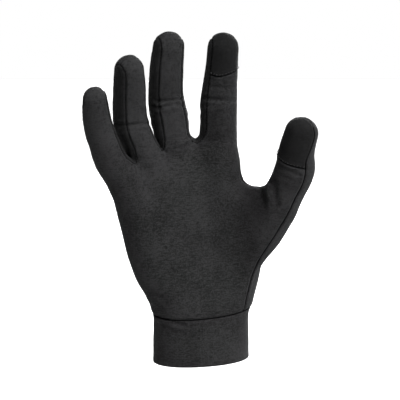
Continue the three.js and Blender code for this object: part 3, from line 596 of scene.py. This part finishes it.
# the same on the palm side, where a crease runs over a finger's round front: only x and z count
FRONT = [
    ((-31.0, -12.6, 189.3), (-12.1, -1.3, 190.6), 1.3, 1.0),
    ((-28.9, -12.5, 185.4), (-17.7, -10.9, 187.5), 0.9, 1.1),
    ((-17.7, -10.9, 187.5), (-12.1, -3.6, 185.8), 0.6, 1.2),
    ((-36.9, -4.6, 187.0), (-28.9, -12.3, 184.3), 1.0, 1.1),
    ((2.1, -4.2, 190.8), (27.1, 1.8, 188.9), 0.8, 1.2),
    ((4.2, -5.6, 186.0), (19.8, -6.7, 187.1), 0.5, 1.4),
    ((6.3, -8.7, 199.6), (26.3, -0.1, 198.0), 0.4, 1.2),
    ((5.0, -2.6, 161.1), (25.2, 4.7, 159.7), 0.3, 2.0),
    ((-60.3, -19.6, 173.7), (-38.0, -16.0, 174.0), 0.9, 1.1),
    ((-55.2, -23.1, 170.8), (-38.6, -17.6, 169.6), 0.35, 1.3),
    ((-46.6, -16.4, 149.7), (-36.0, -17.2, 147.7), 0.5, 1.4),
    ((-36.0, -17.4, 148.8), (-24.9, -6.8, 152.6), 0.6, 1.0),
    ((-24.9, -6.8, 152.6), (-14.9, -7.5, 156.6), 1.0, 0.8),
    ((-14.9, -7.5, 156.6), (-6.5, -0.8, 159.5), 1.0, 0.8),
    ((-24.2, -7.4, 161.6), (-10.7, -2.9, 164.0), 0.35, 1.3),
    ((43.0, -11.7, 127.4), (44.0, -22.8, 117.2), 1.0, 1.6),
    ((50.9, -24.1, 132.6), (52.9, -26.7, 117.7), 0.9, 1.9),
    ((46.9, -18.9, 130.1), (47.7, -23.9, 123.0), -0.6, 1.5),
    ((55.7, -28.2, 144.0), (68.7, -33.5, 139.0), 0.5, 1.5),
    ((57.1, -29.7, 138.6), (66.0, -32.7, 135.4), 0.35, 1.6),
    ((7.5, -11.1, 108.1), (9.5, -12.8, 84.5), 0.6, 5.0),
((31.0, -14.0, 112.0), (20.0, -22.0, 82.0), -0.4, 6.0),
    ((-39.4, -14.4, 52.6), (-27.2, -21.4, 50.5), 0.45, 1.8),
    ((-37.3, -13.3, 47.6), (-27.2, -20.2, 45.2), -0.35, 2.2),
    ((-36.0, -10.5, 42.6), (-26.9, -19.0, 38.6), 0.5, 1.5),
    ((-30.9, -15.1, 35.2), (-12.1, -24.6, 30.8), 0.7, 1.2),
    ((-29.4, -16.5, 32.2), (-12.1, -24.6, 27.6), -0.35, 1.8),
]


def crease_relief(p, n):
    out = np.zeros(len(p))
    facing = 1 / (1 + np.exp((n[:, 1] + 0.28) * 12))
    for side, rows in (("all", CREASES), ("front", FRONT)):
        for a, b, depth, half in rows:
            if side == "all":
                s, m = segment(a, b, p), 1.0
            else:
                flat_ = np.array([1, 0, 1.0])
                s, m = segment(np.array(a) * flat_, np.array(b) * flat_, p * flat_), facing
            away = s - 2.4 * half
            out -= m * depth * (np.exp(-((s / half) ** 2)) - 0.4 * np.exp(-((away / (1.2 * half)) ** 2)))
    return out


def relief(p, n, seams, seam_depth=0.95):
    """How far cloth stands off the smooth skin, in mm, from folds, seams and its own unevenness."""
    d = np.full(len(p), 99.0)
    if len(seams):
        for k in range(0, len(p), 2000):
            q = p[k : k + 2000]
            dd = (q * q).sum(1)[:, None] + (seams * seams).sum(1)[None] - 2 * q @ seams.T
            d[k : k + 2000] = np.sqrt(np.maximum(dd.min(1), 0))
    out = 0.30 * noise_at(p, 15.0) + 0.06 * noise_at(p, 5.5, 7.3)
    out += crease_relief(p, n)
    near = np.exp(-((d / 4.5) ** 2))
    out += 0.22 * noise_at(p, 2.6, 3.1) * near
    out += 0.25 * np.exp(-(((d - 1.9) / 1.0) ** 2)) - seam_depth * np.exp(-((d / 0.52) ** 2))
    # the gathered cloth above the cuff seam
    rise = p[:, 2] - (CUFF_TOP + p[:, 0] * CUFF_TILT[1] + p[:, 1] * CUFF_DIP)
    low = np.exp(-((rise / 7.0) ** 2)) * (rise > -0.5)
    out += low * 0.45 * noise_at(p * np.array([1, 1, 0.3]), 6.0, 11.0)
    out += 0.35 * np.exp(-(((rise - 3.2) / 2.2) ** 2))
    return out + 0.18, d


def settle(p, n):
    """Evens out the cloth over the hollow beside the thumb's root, where it spans it."""
    flat_ = np.array([1, 0, 1.0])
    s = segment(np.array((33.0, 0, 116.0)), np.array((19.0, 0, 76.0)), p * flat_)
    w = np.exp(-((s / 13.0) ** 4)) / (1 + np.exp((n[:, 1] + 0.2) * 12))
    todo, pool = np.flatnonzero(w > 0.02), np.flatnonzero((s < 34) & (n[:, 1] < -0.1))
    out = p.copy()
    for k in range(0, len(todo), 400):
        q = todo[k : k + 400]
        a, b = p[q][:, [0, 2]], p[pool][:, [0, 2]]
        g = np.exp(-((a[:, None] - b[None]) ** 2).sum(2) / (2 * 8.0**2))
        # a plane fitted through the neighbours keeps the slope
        dx, dz, y = b[None, :, 0] - a[:, None, 0], b[None, :, 1] - a[:, None, 1], p[pool][:, 1][None]
        m = np.stack([(g * u * v).sum(1) for u in (1, dx, dz) for v in (1, dx, dz)], 1).reshape(-1, 3, 3)
        r = np.stack([(g * y * u).sum(1) for u in (1, dx, dz)], 1)
        out[q, 1] += w[q] * (np.linalg.solve(m, r[:, :, None])[:, 0, 0] - p[q, 1])
    return out


def to_object(name, verts, faces, uv, mat, node=None):
    me = bpy.data.meshes.new(name)
    me.from_pydata((verts * 0.001).tolist(), [], faces)
    layer = me.uv_layers.new(name="weave")
    loops = np.zeros(len(me.loops), int)
    me.loops.foreach_get("vertex_index", loops)
    layer.data.foreach_set("uv", (uv[loops] * 0.01).astype(np.float32).ravel())
    me.polygons.foreach_set("use_smooth", [True] * len(me.polygons))
    me.validate()
    me.update()
    ob = bpy.data.objects.new(name, me)
    bpy.context.scene.collection.objects.link(ob)
    me.materials.append(mat)
    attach(ob, "root")
    if node:
        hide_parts(node)
    return ob


def compact(quads, *arrays):
    used = np.unique(quads)
    back = np.full(used.max() + 1, -1)
    back[used] = np.arange(len(used))
    return (back[quads],) + tuple(a[used] for a in arrays)


def rim_of(quads):
    """Directed boundary edges of a sheet."""
    e = np.concatenate([quads[:, [k, (k + 1) % 4]] for k in range(4)])
    e = e[e[:, 0] != e[:, 1]]
    have = set(map(tuple, e.tolist()))
    return np.array([x for x in e.tolist() if (x[1], x[0]) not in have])


def cloth_sheet(name, quads, p, n, uv, mat, node, seams, cloth=CLOTH, seam_depth=0.95):
    """A closed sheet of cloth with rolled edges, from its outer face's quads."""
    quads, p, n, uv = compact(quads, p, n, uv)
    h, d = relief(p, n, seams, seam_depth)
    p = settle(p, n)
    rim = rim_of(quads)
    edge = np.unique(rim)
    # edges step back a little and turn in
    step = np.zeros_like(p)
    e = unit(p[rim[:, 1]] - p[rim[:, 0]])
    for col in (0, 1):
        np.add.at(step, rim[:, col], np.cross(n[rim[:, col]], e))
    outer = p + n * h[:, None]
    outer[edge] += unit(step[edge]) * 0.11
    outer[edge] -= n[edge] * 0.15
    inner = p + n * (np.clip(h, -0.6, 0.6) * 0.6 - cloth)[:, None]
    inner[edge] += unit(step[edge]) * 0.05
    m = len(p)
    verts = np.concatenate([outer, inner])
    faces = [list(dict.fromkeys(q)) for q in quads.tolist()]
    faces += [list(dict.fromkeys(q[::-1])) for q in (quads + m).tolist()]
    faces += [[int(b), int(a), int(a + m), int(b + m)] for a, b in rim]
    faces = [f for f in faces if len(f) > 2]
    return to_object(name, verts, faces, np.concatenate([uv, uv]), mat, node)


# ------------------------------------------------------------------ materials
def new_material(name):
    m = bpy.data.materials.new(name)
    m.use_nodes = True
    nt = m.node_tree
    return m, nt, nt.nodes["Principled BSDF"]


def node(nt, kind, **kw):
    n = nt.nodes.new(kind)
    for k, v in kw.items():
        if k.startswith("in_"):
            n.inputs[int(k[3:])].default_value = v
        else:
            setattr(n, k, v)
    return n


def link(nt, a, i, b, j):
    nt.links.new(a.outputs[i], b.inputs[j])


def knit(name, base, fleck, wale, course, rough, sheen, bump, fuzz, painted_light_gain=0.0):
    """Fine elastic knit: columns of loops along the cloth, brushed to a soft face.
    base, fleck: darkest and lightest colour. wale, course: loop width and height in mm. The last argument paints light:
    how much paler the knit is drawn on the upper ring and little fingers and on the thumb side."""
    m, nt, bsdf = new_material(name)
    uv = node(nt, "ShaderNodeUVMap", uv_map="weave")
    mp = node(nt, "ShaderNodeMapping")
    mp.inputs["Scale"].default_value = (100 / wale, 100 / course, 1)
    link(nt, uv, 0, mp, 0)
    sep = node(nt, "ShaderNodeSeparateXYZ")
    link(nt, mp, 0, sep, 0)

    def math_node(op, a=None, b=None, va=0.0, vb=0.0):
        n = node(nt, "ShaderNodeMath", operation=op)
        n.inputs[0].default_value, n.inputs[1].default_value = va, vb
        if a is not None:
            nt.links.new(a, n.inputs[0])
        if b is not None:
            nt.links.new(b, n.inputs[1])
        return n.outputs[0]

    two_pi = 2 * math.pi
    x = math_node("MULTIPLY", sep.outputs[0], None, vb=two_pi)
    # each loop leans outwards from the middle of its column: a chevron
    lean_ = math_node("MULTIPLY", math_node("PINGPONG", sep.outputs[0], None, vb=0.5), None, vb=2.0)
    y = math_node("MULTIPLY", math_node("ADD", sep.outputs[1], math_node("MULTIPLY", lean_, None, vb=0.55)), None, vb=two_pi)
    rib = math_node("COSINE", x)
    loop = math_node("SINE", y)
    cell = math_node("ADD", math_node("MULTIPLY", rib, None, vb=0.3), math_node("MULTIPLY", loop, None, vb=0.2))
    co = node(nt, "ShaderNodeTexCoord")
    fib = node(nt, "ShaderNodeTexNoise", in_2=2600.0, in_3=3.0, in_4=0.6)
    link(nt, co, 3, fib, 0)
    mott = node(nt, "ShaderNodeTexNoise", in_2=1300.0, in_3=2.0, in_4=0.6)
    link(nt, co, 3, mott, 0)
    broad = node(nt, "ShaderNodeTexNoise", in_2=45.0, in_3=3.0, in_4=0.5)
    link(nt, co, 3, broad, 0)
    streak_map = node(nt, "ShaderNodeMapping")
    streak_map.inputs["Scale"].default_value = (22, 95, 1)
    link(nt, uv, 0, streak_map, 0)
    streak = node(nt, "ShaderNodeTexNoise", in_2=1.0, in_3=2.0, in_4=0.6)
    link(nt, streak_map, 0, streak, 0)
    # colour: loops, flecks of brushed fibre, slow variation
    mix = math_node("ADD", math_node("MULTIPLY", cell, None, vb=0.22), math_node("MULTIPLY", mott.outputs[0], None, vb=1.0))
    mix = math_node("ADD", mix, math_node("MULTIPLY", broad.outputs[0], None, vb=0.35))
    mix = math_node("ADD", mix, math_node("MULTIPLY", streak.outputs[0], None, vb=0.55))
    # painted highlight: the knit is drawn paler on the upper ring and little fingers and on the thumb side, standing
    # for the light that falls on them
    place = node(nt, "ShaderNodeSeparateXYZ")
    link(nt, co, 3, place, 0)

    def fade(out, a, b):
        r_ = node(nt, "ShaderNodeMapRange")
        r_.interpolation_type = "SMOOTHSTEP"
        r_.inputs["From Min"].default_value, r_.inputs["From Max"].default_value = a, b
        nt.links.new(out, r_.inputs[0])
        return r_.outputs[0]

    ramp = node(nt, "ShaderNodeValToRGB")
    ramp.color_ramp.elements[0].position, ramp.color_ramp.elements[0].color = 0.385, (*base, 1)
    ramp.color_ramp.elements[1].position, ramp.color_ramp.elements[1].color = 0.615, (*fleck, 1)
    flip_x = math_node("MULTIPLY", place.outputs[0], None, vb=-1.0)
    mix = math_node("ADD", mix, math_node("MULTIPLY", math_node("MULTIPLY", fade(place.outputs[2], 0.120, 0.165), fade(flip_x, -0.005, 0.035)), None, vb=painted_light_gain))
    mix = math_node("ADD", mix, math_node("MULTIPLY", fade(place.outputs[0], 0.040, 0.062), None, vb=painted_light_gain))
    half = math_node("SUBTRACT", mix, None, vb=0.45)
    nt.links.new(half, ramp.inputs[0])
    nt.links.new(ramp.outputs[0], bsdf.inputs["Base Color"])
    h = math_node("ADD", cell, math_node("MULTIPLY", fib.outputs[0], None, vb=fuzz))
    bp = node(nt, "ShaderNodeBump")
    bp.inputs["Strength"].default_value = bump
    bp.inputs["Distance"].default_value = 0.00022
    nt.links.new(h, bp.inputs["Height"])
    nt.links.new(bp.outputs[0], bsdf.inputs["Normal"])
    rr = node(nt, "ShaderNodeMapRange")
    rr.inputs["To Min"].default_value, rr.inputs["To Max"].default_value = rough - 0.08, min(rough + 0.06, 1.0)
    nt.links.new(mott.outputs[0], rr.inputs[0])
    nt.links.new(rr.outputs[0], bsdf.inputs["Roughness"])
    bsdf.inputs["Specular IOR Level"].default_value = 0.05
    bsdf.inputs["Sheen Weight"].default_value = sheen
    bsdf.inputs["Sheen Roughness"].default_value = 0.45
    bsdf.inputs["Sheen Tint"].default_value = (0.75, 0.77, 0.8, 1)
    return m


# the last argument paints light: the knit is drawn paler on the upper ring and little fingers and on the thumb side
KNIT = knit("brushed_knit", (0.0003, 0.0003, 0.0003), (0.0064, 0.0064, 0.0066), 0.62, 0.50, 0.9, 0.008, 1.0, 0.8, painted_light_gain=0.075)
# the side strips' knit is darker than the palm's: partly its own darker tone, partly painted shade standing for the
# shade on the fingers' sides that face away from the key light
SIDE = knit("side_knit_and_painted_shade", (0.0001, 0.0001, 0.0001), (0.0029, 0.0029, 0.0030), 0.62, 0.50, 0.9, 0.006, 1.0, 0.6)
PAD = knit("touch_knit", (0.0001, 0.0001, 0.0001), (0.0019, 0.0019, 0.0020), 0.62, 0.42, 0.82, 0.004, 0.9, 0.5)
CUFF = knit("cuff_knit", (0.0003, 0.0003, 0.0003), (0.0066, 0.0066, 0.0068), 0.62, 0.50, 0.9, 0.008, 1.0, 0.8)


def thread_material(name, dark, light):
    m, nt, bsdf = new_material(name)
    tw = node(nt, "ShaderNodeTexNoise", in_2=5000.0, in_3=2.0)
    tc = node(nt, "ShaderNodeTexCoord")
    link(nt, tc, 3, tw, 0)
    tr = node(nt, "ShaderNodeValToRGB")
    tr.color_ramp.elements[0].position, tr.color_ramp.elements[0].color = 0.3, (*dark, 1)
    tr.color_ramp.elements[1].position, tr.color_ramp.elements[1].color = 0.7, (*light, 1)
    link(nt, tw, 0, tr, 0)
    link(nt, tr, 0, bsdf, 0)
    bsdf.inputs["Roughness"].default_value = 0.6
    bsdf.inputs["Specular IOR Level"].default_value = 0.1
    return m


THREAD = thread_material("sewing_thread", (0.0006, 0.0006, 0.0007), (0.004, 0.004, 0.0042))
PAD_THREAD = thread_material("pad_thread", (0.004, 0.004, 0.0041), (0.012, 0.012, 0.0123))

# ------------------------------------------------------------------ the panels
def uv_of(p, ids_list, centre):
    """Cloth coordinates in mm: along each row from the middle of the palm, along each column from the cuff."""
    uv = np.zeros((len(p), 2))
    offset = {}
    for i, ids in enumerate(ids_list):
        q = p[ids]
        v = np.concatenate([np.zeros((1, ids.shape[1])), np.cumsum(np.linalg.norm(np.diff(q, axis=0), axis=2), axis=0)])
        u = np.concatenate([np.zeros((ids.shape[0], 1)), np.cumsum(np.linalg.norm(np.diff(q, axis=1), axis=2), axis=1)], axis=1)
        offset[i] = (u, v)
    widths = [offset[i][0][:, -1] for i in range(len(ids_list))]
    nb = len(BELOW)
    for i, ids in enumerate(ids_list):
        u, v = offset[i]
        start = np.zeros(len(u))
        if i < centre:
            start[:nb] = -sum(w[:nb] for w in widths[i:centre])
        else:
            start[:nb] = sum((w[:nb] for w in widths[centre:i]), np.zeros(nb))
        mid = start[nb - 1] + widths[i][nb - 1] / 2
        start[nb:] = mid - widths[i][nb:] / 2
        uv[ids, 0] = u + start[:, None]
        uv[ids, 1] = v
    return uv


SIDES = {}
for w in (0, 1):
    src, to, ids_list, quads = panel(w)
    p = hit(src, to)
    n = normals_at(p)
    top = ids_list[0][0]
    for ids in ids_list:
        row = ids[0]
        n[row, 2] = n[row, 0] * CUFF_TILT[1] + n[row, 1] * CUFF_DIP
        n[row] = unit(n[row])
    SIDES[w] = dict(p=p, n=n, ids=ids_list, quads=quads, uv=uv_of(p, ids_list, 2))
STRIPS = []
for i in range(3):
    src, to, ids, quads, mid = strip(i)
    p = hit(src, to)
    n = normals_at(p)
    q = p[ids]
    uv = np.zeros((len(p), 2))
    run = np.concatenate([[0], np.cumsum(np.linalg.norm(np.diff(q[:, q.shape[1] // 2], axis=0), axis=1))])
    uv[ids, 1] = (run - run[mid])[:, None]
    across = np.concatenate([np.zeros((len(q), 1)), np.cumsum(np.linalg.norm(np.diff(q, axis=1), axis=2), axis=1)], axis=1)
    uv[ids, 0] = across - across[:, -1:] / 2
    STRIPS.append(dict(p=p, n=n, ids=ids, quads=quads, uv=uv, mid=mid))


def seam_points(quads, p):
    q, pp = compact(quads, p)
    rim = rim_of(q)
    return np.concatenate([pp[rim[:, 0]], (pp[rim[:, 0]] + pp[rim[:, 1]]) / 2])


names = {0: ("palm_panel_cloth", "palm_panel"), 1: ("back_panel_cloth", "back_panel")}
for w in (0, 1):
    s = SIDES[w]
    cloth_sheet(names[w][0], s["quads"]["main"], s["p"], s["n"], s["uv"], KNIT, names[w][1], seam_points(s["quads"]["main"], s["p"]))
for g in ("index", "thumb"):
    s = SIDES[0]
    cloth_sheet(g + "_tip_pad_cloth", s["quads"][g], s["p"], s["n"], s["uv"], PAD, g + "_tip_pad", seam_points(s["quads"][g], s["p"]))
strip_nodes = ["side_strip_little_ring", "side_strip_ring_middle", "side_strip_middle_index"]
for i, s in enumerate(STRIPS):
    # small folds bunch up where the strip turns round the crotch
    d = np.linalg.norm(s["p"] - s["p"][s["ids"][s["mid"], s["ids"].shape[1] // 2]], axis=1)
    half_w = np.maximum(np.abs(s["uv"][:, 0]).max(), 1)
    k = np.exp(-((d / 11.0) ** 2)) * 0.75 * np.cos(s["uv"][:, 0] * 2 * np.pi / 3.4 + np.abs(s["uv"][:, 1]) * 0.16)
    k += 0.22 * np.exp(-(((d - 20) / 7.0) ** 2)) * np.sin(s["uv"][:, 1] * 2 * np.pi / 8.5 + s["uv"][:, 0] * 0.35)
    keep = 1 - (np.abs(s["uv"][:, 0]) / half_w) ** 4
    moved = s["p"] + s["n"] * (k * keep)[:, None]
    cloth_sheet(strip_nodes[i] + "_cloth", s["quads"], moved, s["n"], s["uv"], SIDE, strip_nodes[i], seam_points(s["quads"], s["p"]))

# ------------------------------------------------------------------ the cuff
AROUND = 240
ZS = np.concatenate([np.linspace(0, 4, 9), np.linspace(4.8, 34, 40)[0:], np.linspace(34.6, CUFF_TOP - 0.25, 9)])
zz, aa = np.meshgrid(ZS, np.arange(AROUND) * 360 / AROUND, indexing="ij")
src = np.stack([0 * zz, 0 * zz, zz], -1).reshape(-1, 3)
to = flat(aa.ravel())
to[:, 2] = to[:, 0] * (CUFF_TILT[0] + (CUFF_TILT[1] - CUFF_TILT[0]) * src[:, 2] / CUFF_TOP) + to[:, 1] * CUFF_DIP * src[:, 2] / CUFF_TOP
p = hit(src, unit(to)).reshape(len(ZS), AROUND, 3)
n = unit(np.cross(np.roll(p, -1, 1) - np.roll(p, 1, 1), np.array([0, 0, 1.0])))
flat_p, flat_n = p.reshape(-1, 3), n.reshape(-1, 3)
h = 0.28 * noise_at(flat_p * np.array([1, 1, 0.5]), 14.0, 2.0) + 0.10 * noise_at(flat_p, 5.0, 5.0)
below = (CUFF_TOP - src[:, 2])
h += 0.25 * np.exp(-((below / 6.0) ** 2)) * noise_at(flat_p * np.array([1, 1, 0.3]), 4.0, 9.0)
h -= 0.9 * np.exp(-((below / 0.65) ** 2))
h += crease_relief(flat_p, flat_n)
h += 0.15 * np.exp(-(((below - 2.2) / 1.2) ** 2))
h += 0.12 * np.exp(-(((src[:, 2] - 2.2) / 1.6) ** 2))
foldr = CUFF_CLOTH / 2
k = np.clip(1 - src[:, 2] / foldr, 0, 1)
turn_in = foldr * (1 - np.sqrt(np.maximum(1 - k**2, 0)))
outer = flat_p + flat_n * (h - turn_in)[:, None]
inner = flat_p + flat_n * (0.5 * h - CUFF_CLOTH + turn_in * 0.999)[:, None]
outer = outer.reshape(len(ZS), AROUND, 3)
inner = inner.reshape(len(ZS), AROUND, 3)
loops = np.concatenate([outer, inner[::-1]])
L = len(loops)
ids = np.arange(L * AROUND).reshape(L, AROUND)
nxt = np.roll(ids, -1, 1)
faces = []
for r in range(L):
    r2 = (r + 1) % L
    faces += np.stack([ids[r], nxt[r], nxt[r2], ids[r2]], -1).tolist()
run = np.concatenate([np.zeros((L, 1)), np.cumsum(np.linalg.norm(np.diff(loops, axis=1), axis=2), axis=1)], axis=1)
zrow = np.concatenate([[0], np.cumsum(np.linalg.norm(np.diff(loops[:, 0], axis=0), axis=1))])
uv = np.stack([run, np.repeat(zrow[:, None], AROUND, 1)], -1).reshape(-1, 2)
cuff_piece = to_object("cuff_cloth", loops.reshape(-1, 3), faces, uv, CUFF, "cuff")


# ------------------------------------------------------------------ sewing thread
def thread_stitches(lines, thick=0.17):
    """Short rounded stitches. lines: (points, normals, spacing, length, angle to the line, shift aside, lift) in mm."""
    ring, bows = 6, 5
    verts, faces = [], []
    for pts, nrm, gap, length, angle, aside, lift in lines:
        seg = np.linalg.norm(np.diff(pts, axis=0), axis=1)
        run = np.concatenate([[0], np.cumsum(seg)])
        if run[-1] < gap:
            continue
        s = np.arange(gap / 2, run[-1], gap)
        at = lambda v: np.stack([np.interp(s, run, v[:, k]) for k in range(3)], 1)
        c, nn = at(pts), unit(at(nrm))
        ahead = np.stack([np.interp(np.minimum(s + 0.4, run[-1]), run, pts[:, k]) - np.interp(np.maximum(s - 0.4, 0), run, pts[:, k]) for k in range(3)], 1)
        tan = unit(ahead)
        side = unit(np.cross(nn, tan))
        sign = np.where(np.arange(len(s)) % 2, 1.0, -1.0) if angle < 0 else np.ones(len(s))
        an = np.radians(abs(angle)) * sign
        way = tan * np.cos(an)[:, None] + side * np.sin(an)[:, None]
        c = c + side * aside + nn * lift
        for k in range(len(s)):
            base = len(verts)
            bi = np.cross(nn[k], way[k])
            for j in range(bows):
                f = -1 + 2 * j / (bows - 1)
                r = thick * math.sqrt(max(1 - (abs(f) ** 3) * 0.8, 0.05))
                o = c[k] + way[k] * f * length / 2 + nn[k] * (0.16 * (1 - f * f) - 0.08)
                for q in range(ring):
                    a = 2 * math.pi * q / ring
                    verts.append(o + r * (math.cos(a) * nn[k] + math.sin(a) * bi))
            for j in range(bows - 1):
                for q in range(ring):
                    q2 = (q + 1) % ring
                    faces.append([base + j * ring + q, base + j * ring + q2, base + (j + 1) * ring + q2, base + (j + 1) * ring + q])
            faces.append([base + q for q in range(ring)][::-1])
            faces.append([base + (bows - 1) * ring + q for q in range(ring)])
    return np.array(verts), faces


lines, pad_lines = [], []
for i, s in enumerate(STRIPS):
    for c in (0, -1):
        col = s["ids"][:, c]
        lines.append((s["p"][col], s["n"][col], 2.1, 1.25, 75, 0.0, -0.42))
for w in (0,):
    s = SIDES[w]
    for g, c in ((0, 0), (4, -1)):
        col = s["ids"][g][:, c]
        lines.append((s["p"][col], s["n"][col], 2.1, 1.25, 75, 0.0, -0.42))
    col = s["ids"][3][len(BELOW) - 1 :, -1]
    lines.append((s["p"][col], s["n"][col], 2.1, 1.25, 75, 0.0, -0.42))
    col = s["ids"][4][len(BELOW) - 1 :, 0]
    lines.append((s["p"][col], s["n"][col], 2.1, 1.25, 75, 0.0, -0.42))
    for gi, g in enumerate(ORDER):
        row = s["ids"][gi][-1]
        lines.append((s["p"][row], s["n"][row], 2.1, 1.25, 75, 0.0, -0.42))
        if CUT[g]["pad"]:
            rows = np.concatenate([BELOW, ABOVE[g]])
            k = int(np.argmin(np.abs(rows - CUT[g]["rows"])))
            row = s["ids"][gi][k]
            pad_lines.append((s["p"][row[1:-1]], s["n"][row[1:-1]], 2.2, 1.35, -50, 1.2, 0.85))
            lines.append((s["p"][row], s["n"][row], 2.1, 1.25, 75, 0.0, -0.42))
for w in (0, 1):
    s = SIDES[w]
    for ids_ in s["ids"]:
        row = ids_[0]
        lines.append((s["p"][row], s["n"][row], 2.4, 1.4, 80, 0.0, -0.5))
# a tight run of dark thread in the seams that face the viewer: the thumb's, the cuff's and the pads'
col = SIDES[0]["ids"][4][:, -1]
tight = [(SIDES[0]["p"][col], SIDES[0]["n"][col], 0.9, 1.15, 0, 0.0, 0.02)]
tight += [(pts, nrm, 0.9, 1.15, 0, 0.0, 0.02) for pts, nrm, gap, *_ in lines if gap == 2.4]
tight += [(pts, nrm, 0.9, 1.15, 0, 0.0, 0.02) for pts, nrm, *_ in pad_lines]
core_mat = thread_material("deep_thread", (0.0001, 0.0001, 0.0001), (0.0006, 0.0006, 0.0006))
core_mat.node_tree.nodes["Principled BSDF"].inputs["Specular IOR Level"].default_value = 0.0
v, f = thread_stitches(tight, 0.25)
core = to_object("seam_core_thread", v, f, np.zeros((len(v), 2)), core_mat)
v, f = thread_stitches(lines)
uvt = np.zeros((len(v), 2))
thread_piece = to_object("seam_stitches", v, f, uvt, THREAD)
v, f = thread_stitches(pad_lines, 0.25)
pad_thread = to_object("pad_stitches", v, f, np.zeros((len(v), 2)), PAD_THREAD)

# ------------------------------------------------------------------ floor, light, camera
FLOOR_Z = -0.12
bpy.ops.mesh.primitive_plane_add(size=12, location=(0, 0, FLOOR_Z))
floor = bpy.context.object
floor.name = "floor"
fm, fnt, fb = new_material("pale_floor")
fb.inputs["Base Color"].default_value = (0.30, 0.30, 0.30, 1)
fb.inputs["Roughness"].default_value = 0.9
fb.inputs["Specular IOR Level"].default_value = 0.1
floor.data.materials.append(fm)

world = bpy.data.worlds.new("studio")
world.use_nodes = True
world.node_tree.nodes["Background"].inputs[0].default_value = (1, 1, 1, 1)
world.node_tree.nodes["Background"].inputs[1].default_value = 1.0
bpy.context.scene.world = world


def area(name, loc, target, size, power):
    d = bpy.data.lights.new(name, "AREA")
    d.shape, d.size, d.energy = "SQUARE", size, power
    o = bpy.data.objects.new(name, d)
    o.location = loc
    o.rotation_euler = (Vector(target) - Vector(loc)).to_track_quat("-Z", "Y").to_euler()
    bpy.context.scene.collection.objects.link(o)


area("fill", (0.2, -1.6, 0.5), (0, 0, 0.12), 1.2, 1.5)
area("back", (0.5, 1.8, 0.7), (0, 0, 0.12), 1.4, 150)
key = bpy.data.lights.new("key", "SUN")
key.energy, key.angle = 22.0, math.radians(45)
sun = bpy.data.objects.new("key", key)
sun.rotation_euler = Vector((-0.52, 0.66, -0.54)).to_track_quat("-Z", "Y").to_euler()
bpy.context.scene.collection.objects.link(sun)

cam_data = bpy.data.cameras.new("camera")
cam_data.lens, cam_data.sensor_width, cam_data.sensor_fit = 125.0, 36.0, "HORIZONTAL"
cam_data.clip_start, cam_data.clip_end = 0.01, 50
cam = bpy.data.objects.new("camera", cam_data)
el = math.radians(8)
target = Vector((-0.00073, 0, 0.1175))
cam.location = target + Vector((0, -math.cos(el), math.sin(el))) * 1.0
cam.rotation_euler = (target - cam.location).to_track_quat("-Z", "Y").to_euler()
bpy.context.scene.collection.objects.link(cam)
bpy.context.scene.camera = cam
bpy.context.scene.view_settings.view_transform = "Standard"
